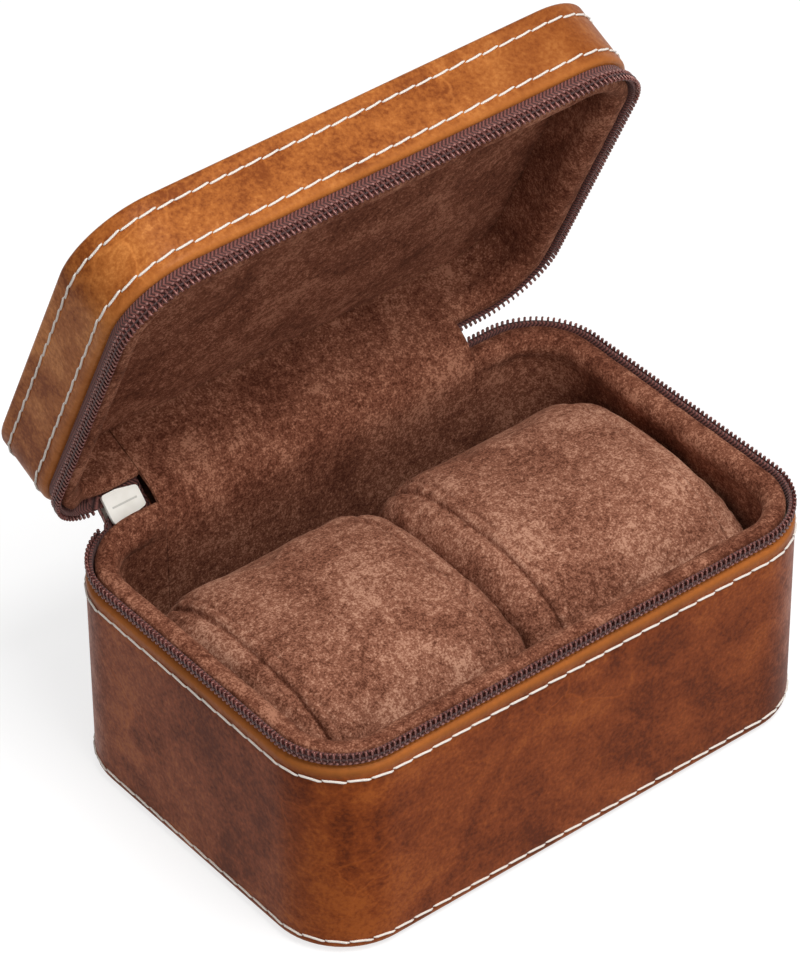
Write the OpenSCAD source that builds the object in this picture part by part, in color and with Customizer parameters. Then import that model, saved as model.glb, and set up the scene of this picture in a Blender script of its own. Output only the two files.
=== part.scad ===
// Zip-up travel case: leather-covered shell, hinged lid, padded lining and two lift-out cushions.
// Origin: middle of the face it stands on. X runs along the width, Y to the hinge, Z up.
// The lid is drawn shut and then swung open about the hinge axis by lid_angle.

/* [Case] */
// Width of the case over the leather
case_w = 128; // [110:1:160]
// Depth of the case over the leather, front to back
case_d = 87.5; // [78:0.5:110]
// Radius of the upright corners
corner_r = 16.4; // [12:0.2:20]
// Height of the base, up to the edge of its leather
base_h = 48.2; // [42:0.1:60]
// Height of the lid, from the edge of its leather to the top
lid_h = 15.7; // [13.5:0.1:24]

/* [Walls] */
// Thickness of the leather
leather_t = 1.2; // [0.9:0.1:1.4]
// Thickness of the stiff board in the walls and panels
board_t = 2.6; // [2.2:0.1:3]
// Thickness of the padded wall lining
lining_t = 2; // [1.6:0.1:2.4]
// Thickness of the leather panel that the case stands on
foot_panel_t = 0.8; // [0.6:0.1:1.2]
// Width of the wall leather that is turned in under the base
turn_in = 8; // [5:0.5:12]
// Radius of the padded lip round each opening
lip_r = 2; // [1.7:0.1:2.2]

/* [Zip] */
// Height of the zip tape that shows over the base leather, up to the zip line
tape_show_base = 3.6; // [3.2:0.1:4.4]
// Height of the zip tape that shows under the lid leather, down to the zip line
tape_show_lid = 4.7; // [3.8:0.1:5.6]
// Thickness of the woven tape
tape_t = 0.6; // [0.45:0.05:0.65]
// Depth of the tape that is sewn in behind the leather
tape_tuck = 5.2; // [4:0.1:7]
// Distance from one tooth to the next on one side of the zip
tooth_pitch = 1.25; // [1.2:0.05:1.6]
// Width of one tooth along the zip
tooth_w = 0.5; // [0.4:0.02:0.54]
// Thickness of one tooth
tooth_t = 0.8; // [0.6:0.05:0.9]
// Length of one tooth that lies on the tape
tooth_root = 2; // [1.6:0.1:2.4]
// How far the teeth of one side reach between those of the other
tooth_mesh = 0.25; // [0.15:0.01:0.3]

/* [Hinge] */
// Width of the leather and lining that join lid and base
hinge_w = 80; // [60:1:84]
// Thickness of the hinge leather, thinned to fold
hinge_t = 0.65; // [0.5:0.05:0.65]
// Distance of the hinge axis behind the back face
hinge_out = 0.75; // [0.5:0.05:1]
// Distance of the hinge axis under the zip line
hinge_drop = 2.75; // [2.4:0.05:3]
// Angle of the lid from shut, as it stands open
lid_angle = 65.5; // [50:0.5:90]
// Thickness of the lining across the hinge
hinge_lining_t = 1; // [0.8:0.1:1.2]

/* [Slider] */
// Length of the zip slider
slider_len = 8.4; // [7.5:0.1:8.6]
// Width of the slider at its mouth
slider_w = 6.4; // [5.8:0.1:6.4]
// Thickness of each slider plate
plate_t = 0.75; // [0.6:0.05:0.8]
// Height of the channel between the plates
channel_h = 2.1; // [1.9:0.05:2.15]
// Share of the lid's swing that the slider and the joined end of the zip follow
slider_share = 0.7; // [0.6:0.05:0.75]
// Length of the pull from its pivot to its tip
pull_len = 21; // [16:0.5:26]
// Width of the pull
pull_w = 5.4; // [5:0.1:5.6]
// Thickness of the pull and diameter of its pivot bar
pull_t = 1.1; // [0.9:0.05:1.2]

/* [Cushions] */
// Free space between a cushion and the lip round it
cushion_gap = 0.4; // [0.3:0.05:1.5]
// Free space between the two cushions
cushion_split = 0.7; // [0.6:0.1:2]
// Height of the cushions over the floor lining
cushion_h = 44; // [34:0.5:45]
// Depth of the cushions, front to back
cushion_d = 64.5; // [52:0.5:66]
// Distance of the end seams from the ends of a cushion
seam_in = 5.8; // [4:0.1:9]
// Depth of the pinch at each end seam
seam_pinch = 1.2; // [0.6:0.1:2]
// Thickness of the cushion cover
cover_t = 0.9; // [0.7:0.1:1.2]

/* [Hidden] */

$fn = 48;
leather = "#9a5426";
suede = "#5f3626";
board = "#b9a58a";
foam = "#d9d3c4";
tape = "#3d211d";
teeth = "#4b2a26";
metal = "#c9c6bd";

// Clearances
soft_gap = 0.3;
stop_gap = 0.2;
tooth_seat = 0.005;
foam_seat = 0.05;

// Heights from the floor up, with the lid shut
zip_z = base_h + tape_show_base;
lid_z = zip_z + tape_show_lid;
case_h = lid_z + lid_h;
turn_z = foot_panel_t + leather_t;
floor_z = turn_z + board_t;
floor_lining_t = 1.4;
well_z = floor_z + floor_lining_t;
base_board_z = base_h - 0.8;
lid_board_z = lid_z + 0.8;

// Offsets of the layers from the outer face, inward negative
board_o = -leather_t;
rebate_in = 0.7;
rebate_o = board_o - rebate_in;
lining_o = -leather_t - board_t;
inner_o = lining_o - lining_t;
lip_o = lining_o - 1.1;
lip_inner_o = lip_o - lip_r;
lip_skin = 0.8;
base_lip_z = base_h + 0.3;
lid_lip_z = lid_z - 0.3;
rebate_depth = tape_tuck + 0.4;

// The lid's ceiling
lid_panel_z = case_h - leather_t;
lid_board_under = lid_panel_z - board_t;
lid_foam_t = 1.6;
lid_lining_t = 0.9;
ceiling_z = lid_board_under - lid_foam_t - lid_lining_t;

// The zip: the tape leans out from behind the leather until its teeth are flush with the outer face
tape_edge_gap = 0.6;
base_tape_z = zip_z - tape_edge_gap;
lid_tape_z = zip_z + tape_edge_gap;
tape_free_o = -tooth_t;
join_y = 0.1;
coil_o = tape_free_o - join_y;

// The hinge
axis_y = case_d / 2 + hinge_out;
axis_z = zip_z - hinge_drop;

// The slider's place
coil_y = case_d / 2 + coil_o;
slider_slide = 2;
stop_len = 1;
slider_x = -hinge_w / 2 - 2 * stop_gap - stop_len - slider_len / 2;
zip_left_x = slider_x - slider_len / 2 - slider_slide - soft_gap;
zip_right_x = hinge_w / 2 + soft_gap;
slider_tail_w = 0.7 * slider_w;
shoulder_x = 3.6 - slider_len / 2;
post_x = 0.5 - slider_len / 2;
post_len = 3.2;
post_w = 1.8;
pivot_y = coil_y + channel_h / 2 + plate_t + 0.95;

function flipped(list) = [for (i = [len(list) - 1 : -1 : 0]) list[i]];

// Moves from the shut lid to the open one, about the hinge axis
module swung(angle) {
    translate([0, axis_y, axis_z])
        rotate([-angle, 0, 0])
            translate([0, -axis_y, -axis_z])
                children();
}

// A flat rounded rectangle, drawn in from the outer face
module footprint(inset) {
    w = case_w - 2 * inset;
    d = case_d - 2 * inset;
    r = corner_r - inset;
    square([w - 2 * r, d], center = true);
    square([w, d - 2 * r], center = true);
    for (sx = [-1, 1], sy = [-1, 1])
        translate([sx * (w / 2 - r), sy * (d / 2 - r)])
            circle(r = r);
}

module plate(inset, z, t) {
    translate([0, 0, z])
        linear_extrude(t)
            footprint(inset);
}

// Sweeps a profile round the case. In the profile, x is the offset from the outer face and y is z.
module around() {
    for (turn = [0 : 3]) {
        along = turn % 2 == 0 ? case_w - 2 * corner_r : case_d - 2 * corner_r;
        out = (turn % 2 == 0 ? case_d : case_w) / 2;
        rotate([0, 0, 90 * turn]) {
            translate([-along / 2, out, 0])
                rotate([90, 0, 90])
                    linear_extrude(along)
                        children();
            translate([along / 2, out - corner_r, 0])
                rotate_extrude(angle = 90)
                    translate([corner_r, 0])
                        children();
        }
    }
}

// The stretch of the back between two x values, as something to cut away
module back_cut(x0, x1, z0, z1) {
    translate([x0, case_d / 2 - corner_r, z0])
        cube([x1 - x0, corner_r + 5, z1 - z0]);
}

// Base

module base_foot_panel() {
    color(leather) plate(leather_t + 0.4, 0, foot_panel_t);
}

module base_filler_card() {
    color(board) plate(turn_in + 0.3, foot_panel_t, leather_t);
}

module base_wall_leather_profile() {
    round_r = leather_t;
    under_r = leather_t;
    translate([-leather_t, foot_panel_t + under_r])
        square([leather_t, base_h - round_r - foot_panel_t - under_r]);
    intersection() {
        translate([-leather_t, base_h - round_r]) circle(r = round_r);
        translate([-leather_t, base_h - round_r]) square(round_r);
    }
    difference() {
        union() {
            intersection() {
                translate([-under_r, foot_panel_t + under_r]) circle(r = under_r);
                translate([-under_r, foot_panel_t]) square(under_r);
            }
            translate([-turn_in, foot_panel_t]) square([turn_in - under_r, leather_t]);
        }
        translate([-turn_in - leather_t, turn_z]) square(turn_in);
    }
}

module base_wall_leather() {
    color(leather) around() base_wall_leather_profile();
}

module base_floor_board() {
    color(board) plate(leather_t, turn_z, board_t);
}

// The top of the board is thinned outside, where the zip tape and the hinge leather lie
module base_wall_board() {
    color(board) around() polygon([
        [lining_o, floor_z],
        [board_o, floor_z],
        [board_o, base_h - rebate_depth],
        [rebate_o, base_h - rebate_depth],
        [rebate_o, base_board_z],
        [lining_o, base_board_z]
    ]);
}

module base_floor_lining() {
    color(suede) plate(-lining_o, floor_z, floor_lining_t);
}

module lip_profile(z, board_edge, board_side) {
    difference() {
        translate([lip_o, z]) circle(r = lip_r);
        translate([lip_o, z]) circle(r = lip_r - lip_skin);
        translate([lining_o, board_side < 0 ? board_edge - 10 : board_edge]) square(10);
    }
}

module base_wall_lining() {
    color(suede) difference() {
        around() {
            difference() {
                translate([inner_o, well_z]) square([lining_t, base_lip_z - well_z]);
                translate([lip_o, base_lip_z]) circle(r = lip_r - lip_skin);
            }
            lip_profile(base_lip_z, base_board_z, -1);
        }
        back_cut(-hinge_w / 2, hinge_w / 2, base_h - rebate_depth, case_h);
    }
}

module base_lip_foam() {
    color(foam) difference() {
        around() difference() {
            translate([lip_o, base_lip_z]) circle(r = lip_r - lip_skin - foam_seat);
            translate([lining_o, base_board_z - 10]) square(10);
        }
        back_cut(-hinge_w / 2, hinge_w / 2, 0, case_h);
    }
}

// Zip

// Unit vector along the leaning part of a tape, from the leather's edge to its free edge
function lean(edge_z, free_z) =
    [leather_t + tape_free_o, free_z - edge_z] / norm([leather_t + tape_free_o, free_z - edge_z]);

// Unit vector through a tape, from its outer face inward
function through(dir) = sign(dir[1]) * [-dir[1], dir[0]];

module tape_profile(edge_z, free_z, tuck_z) {
    dir = lean(edge_z, free_z);
    edge = [-leather_t, edge_z];
    free = [tape_free_o, free_z];
    inward = through(dir) * tape_t;
    polygon([
        [-leather_t, tuck_z],
        edge,
        free,
        free + inward,
        edge + inward - dir * tape_t * dir[0] / (1 + abs(dir[1])),
        [-leather_t - tape_t, tuck_z]
    ]);
}

module base_zip_tape() {
    color(tape) difference() {
        around() tape_profile(base_h, base_tape_z, base_h - tape_tuck);
        back_cut(zip_left_x, zip_right_x, 0, case_h);
    }
}

// One tooth's section: it lies on the outer face of the tape and ends level at tip_z
module tooth_profile(edge_z, free_z, tip_z) {
    dir = lean(edge_z, free_z);
    seat = [tape_free_o, free_z] - through(dir) * tooth_seat;
    front = seat - through(dir) * (tooth_t - tooth_seat);
    polygon([
        seat - dir * tooth_root,
        seat + dir * (tip_z - seat[1]) / dir[1],
        front + dir * (tip_z - front[1]) / dir[1],
        front - dir * tooth_root
    ]);
}

// Places round the case for what repeats at a pitch: [x, y, turn], starting behind and going left
function ring_places(phase) = [
    for (turn = [0 : 3])
        let (
            along = turn % 2 == 0 ? case_w - 2 * corner_r : case_d - 2 * corner_r,
            out = (turn % 2 == 0 ? case_d : case_w) / 2,
            a = 90 * turn,
            n = round(along / tooth_pitch),
            bend = PI / 2 * (corner_r + coil_o),
            m = round(bend / tooth_pitch),
            cx = -along / 2,
            cy = out - corner_r
        )
            each concat(
                [for (i = [0 : n - 1])
                    let (s = ((i + phase) / n - 0.5) * along)
                        [-s * cos(a) - out * sin(a), -s * sin(a) + out * cos(a), a]],
                [for (i = [0 : m - 1])
                    let (b = a + 90 * (i + phase) / m)
                        [
                            cx * cos(a) - cy * sin(a) - corner_r * sin(b),
                            cx * sin(a) + cy * cos(a) + corner_r * cos(b),
                            b
                        ]]
            )
];

function on_zip(p) = p[1] < case_d / 2 - corner_r
    || p[0] < zip_left_x - tooth_w
    || p[0] > zip_right_x + stop_len + tooth_pitch / 2;

module teeth_row(phase) {
    for (p = ring_places(phase))
        if (on_zip(p))
            translate([p[0], p[1], 0])
                rotate([90, 0, 90 + p[2]])
                    linear_extrude(tooth_w, center = true)
                        children();
}

module base_tooth_profile() {
    tooth_profile(base_h, base_tape_z, zip_z + tooth_mesh / 2);
}

module lid_tooth_profile() {
    tooth_profile(lid_z, lid_tape_z, zip_z - tooth_mesh / 2);
}

module stop_at_right() {
    translate([zip_right_x + stop_gap, case_d / 2, 0])
        rotate([90, 0, 90])
            linear_extrude(stop_len)
                children();
}

module base_zip_teeth() {
    color(teeth) teeth_row(0.25) base_tooth_profile();
}

module base_top_stop() {
    color(metal) stop_at_right() tooth_profile(base_h, base_tape_z, zip_z - stop_gap / 2);
}

// Lid, drawn shut

module lid_top_leather() {
    edge_r = 0.9;
    color(leather) swung(lid_angle) {
        plate(edge_r, lid_panel_z, leather_t);
        around() {
            translate([-edge_r, lid_panel_z]) square([edge_r, leather_t - edge_r]);
            intersection() {
                translate([-edge_r, case_h - edge_r]) circle(r = edge_r);
                translate([-edge_r, case_h - edge_r]) square(edge_r);
            }
        }
    }
}

module lid_wall_leather() {
    round_r = leather_t;
    color(leather) swung(lid_angle) around() {
        translate([-leather_t, lid_z + round_r])
            square([leather_t, lid_panel_z - lid_z - round_r]);
        intersection() {
            translate([-leather_t, lid_z + round_r]) circle(r = round_r);
            translate([-leather_t, lid_z]) square(round_r);
        }
    }
}

module lid_top_board() {
    color(board) swung(lid_angle) plate(leather_t, lid_board_under, board_t);
}

module lid_wall_board() {
    color(board) swung(lid_angle) around() polygon([
        [lining_o, lid_board_under],
        [board_o, lid_board_under],
        [board_o, lid_z + rebate_depth],
        [rebate_o, lid_z + rebate_depth],
        [rebate_o, lid_board_z],
        [lining_o, lid_board_z]
    ]);
}

module lid_top_foam() {
    color(foam) swung(lid_angle) plate(-lining_o, lid_board_under - lid_foam_t, lid_foam_t);
}

module lid_wall_lining() {
    top = lid_board_under - lid_foam_t;
    color(suede) swung(lid_angle) difference() {
        around() {
            difference() {
                translate([inner_o, lid_lip_z]) square([lining_t, top - lid_lip_z]);
                translate([lip_o, lid_lip_z]) circle(r = lip_r - lip_skin);
            }
            lip_profile(lid_lip_z, lid_board_z, 1);
        }
        back_cut(-hinge_w / 2, hinge_w / 2, 0, lid_z + rebate_depth);
    }
}

module lid_lip_foam() {
    color(foam) swung(lid_angle) difference() {
        around() difference() {
            translate([lip_o, lid_lip_z]) circle(r = lip_r - lip_skin - foam_seat);
            translate([lining_o, lid_board_z]) square(10);
        }
        back_cut(-hinge_w / 2, hinge_w / 2, 0, case_h);
    }
}

// The ceiling lining: crowned in the middle and drawn up to the walls, with two broad folds
ceiling_cols = 26;
ceiling_rows = 18;
ceiling_w = case_w + 2 * inner_o - 0.4;
ceiling_d = case_d + 2 * inner_o - 0.4;
ceiling_r = corner_r + inner_o;
ceiling_crown = 1.6;

// A point of the unit square drawn onto the rounded rectangle
function ceiling_xy(u, v) =
    let (
        x = u * ceiling_w / 2,
        y = v * ceiling_d / 2,
        bx = ceiling_w / 2 - ceiling_r,
        by = ceiling_d / 2 - ceiling_r,
        room = abs(x) > bx ? by + sqrt(max(ceiling_r ^ 2 - (abs(x) - bx) ^ 2, 0)) : ceiling_d / 2
    )
        [x, v * room];

function ceiling_drop(u, v) =
    let (
        crown = (1 - u ^ 4) * (1 - v ^ 4),
        fold = 0.35 * sin(210 * u + 70 * v) + 0.25 * cos(160 * v - 120 * u)
    )
        lid_lining_t + crown * (ceiling_crown + fold);

module lid_top_lining() {
    top = lid_board_under - lid_foam_t;
    us = [for (i = [0 : ceiling_cols]) -sin(90 - 180 * i / ceiling_cols)];
    vs = [for (j = [0 : ceiling_rows]) -1 + 2 * j / ceiling_rows];
    inner_us = [for (i = [1 : ceiling_cols - 1]) us[i]];
    cols = len(inner_us);
    rows = len(vs);
    upper = [for (u = inner_us, v = vs) let (p = ceiling_xy(u, v)) [p[0], p[1], top]];
    lower = [for (u = inner_us, v = vs)
        let (p = ceiling_xy(u, v)) [p[0], p[1], top - ceiling_drop(u, v)]];
    half = len(upper);
    skin = [for (i = [0 : cols - 2], j = [0 : rows - 2])
        let (a = i * rows + j) [a, a + 1, a + rows + 1, a + rows]];
    rim = concat(
        [for (j = [0 : rows - 1]) j],
        [for (i = [1 : cols - 1]) i * rows + rows - 1],
        [for (j = [rows - 2 : -1 : 0]) (cols - 1) * rows + j],
        [for (i = [cols - 2 : -1 : 1]) i * rows]
    );
    n = len(rim);
    faces = concat(
        [for (f = skin) each [[f[2], f[1], f[0]], [f[3], f[2], f[0]]]],
        [for (f = skin) each [
            [half + f[0], half + f[1], half + f[2]],
            [half + f[0], half + f[2], half + f[3]]
        ]],
        [for (k = [0 : n - 1])
            let (a = rim[k], b = rim[(k + 1) % n])
                each [[a, b, half + b], [a, half + b, half + a]]]
    );
    color(suede) swung(lid_angle)
        polyhedron(points = concat(upper, lower), faces = faces, convexity = 4);
}

module lid_zip_tape() {
    color(tape) swung(lid_angle) difference() {
        around() tape_profile(lid_z, lid_tape_z, lid_z + tape_tuck);
        back_cut(zip_left_x, zip_right_x, 0, case_h);
    }
}

module lid_zip_teeth() {
    color(teeth) swung(lid_angle) teeth_row(0.75) lid_tooth_profile();
}

module lid_top_stop() {
    color(metal) swung(lid_angle)
        stop_at_right() tooth_profile(lid_z, lid_tape_z, zip_z + stop_gap / 2);
}

// Hinge: each strip runs up the base wall, bends in one arc and runs on up the lid wall
bend_steps = 16;

module hinge_strip(mid_y, t, bend_z, base_end_z, lid_end_z) {
    half = lid_angle / 2;
    slack = (axis_y - mid_y) * tan(half);
    tangent = axis_z + slack - bend_z;
    r = tangent / tan(half);
    leg = (lid_end_z - axis_z + slack - tangent) * [sin(lid_angle), cos(lid_angle)];
    bend = [for (k = [0 : bend_steps])
        let (a = lid_angle * k / bend_steps) [-cos(a), sin(a)]];
    middle = [mid_y + r, bend_z];
    inner_side = [for (p = bend) middle + (r + t / 2) * p];
    outer_side = [for (p = bend) middle + (r - t / 2) * p];
    translate([-hinge_w / 2 + soft_gap, 0, 0])
        rotate([90, 0, 90])
            linear_extrude(hinge_w - 2 * soft_gap)
                polygon(concat(
                    [[mid_y - t / 2, base_end_z]],
                    inner_side,
                    [inner_side[bend_steps] + leg, outer_side[bend_steps] + leg],
                    flipped(outer_side),
                    [[mid_y + t / 2, base_end_z]]
                ));
}

module hinge_leather() {
    color(leather) hinge_strip(
        case_d / 2 + board_o - hinge_t / 2,
        hinge_t,
        base_h,
        base_h - tape_tuck,
        lid_z + tape_tuck
    );
}

module hinge_lining() {
    color(suede) hinge_strip(
        case_d / 2 + inner_o + hinge_lining_t / 2,
        hinge_lining_t,
        base_h - 2.2,
        base_h - tape_tuck,
        lid_z + tape_tuck
    );
}

// The joined end of the zip, the slider and its pull

module on_zip_end() {
    swung(lid_angle * slider_share)
        translate([slider_x, coil_y, zip_z])
            children();
}

tail_x = slider_len / 2 + 2 * stop_gap + stop_len;

// The two tapes join behind the post that parts them in the slider's mouth
module zip_end_tape() {
    start_x = post_x + post_len + stop_gap;
    color(tape) on_zip_end()
        translate([start_x, join_y - tape_t, -slider_tail_w / 2])
            cube([tail_x - start_x, tape_t, slider_tail_w]);
}

module zip_end_teeth() {
    reach = 1.3;
    past = 0.2;
    places = [for (x = [past : tooth_pitch / 2 : tail_x - stop_len - tooth_w]) x];
    color(teeth) on_zip_end()
        for (i = [0 : len(places) - 1])
            translate([places[i] - tooth_w / 2, join_y, i % 2 == 0 ? -reach : -past])
                cube([tooth_w, tooth_t, reach + past]);
}

module zip_bottom_stop() {
    stop_w = slider_tail_w - 1.4;
    color(metal) on_zip_end()
        translate([tail_x - stop_len, join_y, -stop_w / 2])
            cube([stop_len, tooth_t, stop_w]);
}

// A polygon with each corner rounded by r, in steps of n
function rounded(points, r, n) = [
    for (i = [0 : len(points) - 1])
        let (
            p = points[i],
            a = points[(i + len(points) - 1) % len(points)] - p,
            b = points[(i + 1) % len(points)] - p,
            ua = a / norm(a),
            ub = b / norm(b),
            corner = acos(ua * ub),
            middle = p + (ua + ub) / norm(ua + ub) * r / sin(corner / 2),
            from = p + ua * r / tan(corner / 2) - middle,
            to = p + ub * r / tan(corner / 2) - middle
        )
            for (k = [0 : n])
                let (
                    t = k / n,
                    arc = 180 - corner,
                    dir = (sin((1 - t) * arc) * from + sin(t * arc) * to) / sin(arc)
                )
                    middle + dir
];

module slider_outline() {
    polygon(rounded([
        [-slider_len / 2, -slider_w / 2],
        [shoulder_x, -slider_w / 2],
        [slider_len / 2, -slider_tail_w / 2],
        [slider_len / 2, slider_tail_w / 2],
        [shoulder_x, slider_w / 2],
        [-slider_len / 2, slider_w / 2]
    ], 0.8, 5));
}

// Draws a flat outline in the plane of the zip, with its thickness along Y from y
module slab(y, t) {
    translate([0, y + t, 0])
        rotate([90, 0, 0])
            linear_extrude(t)
                children();
}

module slider_rails() {
    rail = 0.7;
    end_in = 0.8;
    tail = slider_tail_w / 2 + 0.12;
    for (side = [-1, 1])
        polygon([
            [end_in - slider_len / 2, side * slider_w / 2],
            [shoulder_x, side * slider_w / 2],
            [slider_len / 2 - end_in, side * tail],
            [slider_len / 2 - end_in, side * (tail - rail)],
            [shoulder_x, side * (slider_w / 2 - rail)],
            [end_in - slider_len / 2, side * (slider_w / 2 - rail)]
        ]);
}

// The crown's side view, its feet sunk a little into the plate under it
module crown_profile() {
    half_len = 3.2;
    hole = 2.3;
    crown_h = 2.7;
    sunk = 0.2;
    difference() {
        polygon(rounded([
            [-half_len, -0.5],
            [half_len, -0.5],
            [half_len, crown_h],
            [-half_len, crown_h]
        ], 0.45, 4));
        polygon(rounded([[-hole, 0], [hole, 0], [hole, 1.9], [-hole, 1.9]], 0.4, 4));
        translate([-2 * half_len, -2]) square([4 * half_len, 2 - sunk]);
    }
}

module zip_slider() {
    rail_gap = 1.1;
    rail_h = (channel_h - rail_gap) / 2;
    crown_w = 1.8;
    groove = 3;
    color(metal) on_zip_end() difference() {
        union() {
            slab(-channel_h / 2 - plate_t, plate_t) slider_outline();
            slab(channel_h / 2, plate_t) slider_outline();
            slab(-channel_h / 2, rail_h) slider_rails();
            slab(channel_h / 2 - rail_h, rail_h) slider_rails();
            slab(-channel_h / 2, channel_h)
                polygon(rounded([
                    [post_x, 0],
                    [post_x + 1.4, -post_w / 2],
                    [post_x + post_len, 0],
                    [post_x + 1.4, post_w / 2]
                ], 0.2, 3));
            translate([0, channel_h / 2 + plate_t, -crown_w / 2])
                linear_extrude(crown_w)
                    crown_profile();
        }
        slab(-channel_h / 2 - plate_t - 0.1, 0.3)
            polygon(rounded([
                [-groove, -0.25],
                [groove, -0.25],
                [groove, 0.25],
                [-groove, 0.25]
            ], 0.2, 3));
    }
}

// The pull's bar turns under the crown, and its two arms pass it on either side
module zip_pull() {
    arm_in = 1.25;
    arm_t = 1;
    root_x = 3.6;
    slot_x = pull_len - 4.6;
    slot_r = 1.3;
    slot_len = 6;
    color(metal) on_zip_end()
        translate([0, pivot_y - coil_y, 0]) {
            cylinder(d = pull_t, h = 2 * (arm_in + arm_t), center = true);
            for (side = [-1, 1])
                translate([0, -pull_t / 2, side * (arm_in + arm_t / 2) - arm_t / 2])
                    cube([root_x + 0.5, pull_t, arm_t]);
            slab(-pull_t / 2, pull_t) difference() {
                polygon(rounded([
                    [root_x, -arm_in - arm_t],
                    [pull_len - 5, -pull_w / 2],
                    [pull_len, -pull_w / 2 + 1],
                    [pull_len, pull_w / 2 - 1],
                    [pull_len - 5, pull_w / 2],
                    [root_x, arm_in + arm_t]
                ], 0.9, 5));
                translate([slot_x, 0]) circle(r = slot_r);
                translate([slot_x - slot_len, 0]) circle(r = slot_r);
                translate([slot_x - slot_len, -slot_r]) square([slot_len, 2 * slot_r]);
            }
        }
}

// Cushions: a sewn sleeve with two end caps over a foam core. Each is a loft of closed rings.
cushion_sides = 28;
cushion_x0 = cushion_split / 2;
cushion_x1 = case_w / 2 + lip_inner_o - cushion_gap;
cushion_len = cushion_x1 - cushion_x0;
cushion_front_y = -case_d / 2 - lip_inner_o + cushion_gap;
cushion_y = cushion_front_y + cushion_d / 2;
cushion_z = well_z + soft_gap + cushion_h / 2;

// One ring of the cushion at x, drawn in all round: fuller at the back than at the front
function cushion_ring(x, inset) = [
    for (k = [0 : cushion_sides - 1])
        let (
            a = 360 * (k + 0.5) / cushion_sides,
            c = cos(a),
            s = sin(a),
            power = c < 0 && s > 0 ? 2.1 : 3,
            ry = cushion_d / 2 - inset,
            rz = cushion_h / 2 - inset
        )
            [
                x,
                cushion_y + ry * sign(c) * abs(c) ^ (2 / power),
                cushion_z + rz * sign(s) * abs(s) ^ (2 / power)
            ]
];

// A closed solid through rings, with its two ends flat, or joined end to start as a sleeve
module loft(rings, sleeve = false) {
    n = cushion_sides;
    m = len(rings);
    sides = [
        for (i = [0 : sleeve ? m - 1 : m - 2], k = [0 : n - 1])
            let (
                a = i * n + k,
                b = i * n + (k + 1) % n,
                c = ((i + 1) % m) * n + (k + 1) % n,
                d = ((i + 1) % m) * n + k
            )
                each [[a, b, c], [a, c, d]]
    ];
    ends = sleeve ? [] : [
        [for (k = [n - 1 : -1 : 0]) k],
        [for (k = [0 : n - 1]) (m - 1) * n + k]
    ];
    polyhedron(points = [for (r = rings) each r], faces = concat(sides, ends), convexity = 6);
}

// How far the sleeve is drawn in at a share t of its length: nothing in the middle
function sleeve_inset(t) = seam_pinch * (abs(2 * t - 1)) ^ 5;
sleeve_steps = [0, 0.04, 0.12, 0.28, 0.5, 0.72, 0.88, 0.96, 1];

// The end cap from its seam outward: [share of the way to the end, inset]. It follows the case's corner.
cap_in = corner_r + lip_inner_o - 1;
cap_steps = [
    [0, seam_pinch],
    [0.3, seam_pinch + 0.3],
    [0.65, 0.33 * cap_in],
    [0.9, 0.61 * cap_in],
    [1, cap_in]
];

function sleeve_x(t) = cushion_x0 + seam_in + t * (cushion_len - 2 * seam_in);

function cushion_mirror(rings, side) = side > 0
    ? rings
    : [for (r = rings) [for (k = [len(r) - 1 : -1 : 0]) [-r[k][0], r[k][1], r[k][2]]]];

function sleeve_rings(extra) = [
    for (t = sleeve_steps) cushion_ring(sleeve_x(t), sleeve_inset(t) + extra)
];

// end 1 is the outer one, by the case wall, and end -1 the one by the other cushion
function cap_rings(end, extra) = [
    for (c = cap_steps)
        let (
            seam_x = end > 0 ? cushion_x1 - seam_in : cushion_x0 + seam_in,
            x = seam_x + end * c[0] * (seam_in - extra)
        )
            cushion_ring(x, c[1] + extra)
];

module cushion_foam(side) {
    slack = cover_t + 0.1;
    rings = concat(
        flipped(cap_rings(-1, slack)),
        [for (i = [1 : len(sleeve_steps) - 2]) sleeve_rings(slack)[i]],
        cap_rings(1, slack)
    );
    color(foam) loft(cushion_mirror(rings, side));
}

module cushion_sleeve(side) {
    rings = concat(sleeve_rings(0), flipped(sleeve_rings(cover_t)));
    color(suede) loft(cushion_mirror(rings, side), sleeve = true);
}

module cushion_cap(side, end) {
    outside = cap_rings(end, 0);
    inside = flipped(cap_rings(end, cover_t));
    rings = end > 0 ? concat(inside, outside) : flipped(concat(inside, outside));
    color(suede) loft(cushion_mirror(rings, side));
}

module cushion_left_foam() { cushion_foam(-1); }
module cushion_left_sleeve() { cushion_sleeve(-1); }
module cushion_left_outer_cap() { cushion_cap(-1, 1); }
module cushion_left_inner_cap() { cushion_cap(-1, -1); }
module cushion_right_foam() { cushion_foam(1); }
module cushion_right_sleeve() { cushion_sleeve(1); }
module cushion_right_outer_cap() { cushion_cap(1, 1); }
module cushion_right_inner_cap() { cushion_cap(1, -1); }

base_foot_panel();
base_filler_card();
base_wall_leather();
base_floor_board();
base_wall_board();
base_floor_lining();
base_wall_lining();
base_lip_foam();
base_zip_tape();
base_zip_teeth();
base_top_stop();
hinge_leather();
hinge_lining();
lid_top_leather();
lid_wall_leather();
lid_top_board();
lid_wall_board();
lid_top_foam();
lid_top_lining();
lid_wall_lining();
lid_lip_foam();
lid_zip_tape();
lid_zip_teeth();
lid_top_stop();
zip_end_tape();
zip_end_teeth();
zip_bottom_stop();
zip_slider();
zip_pull();
cushion_left_foam();
cushion_left_sleeve();
cushion_left_outer_cap();
cushion_left_inner_cap();
cushion_right_foam();
cushion_right_sleeve();
cushion_right_outer_cap();
cushion_right_inner_cap();
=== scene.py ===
"""Zip-up travel case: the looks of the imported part, modelled and lit in Blender."""

import math
import random

import bmesh
import bpy
from mathutils import Matrix, Vector


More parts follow.
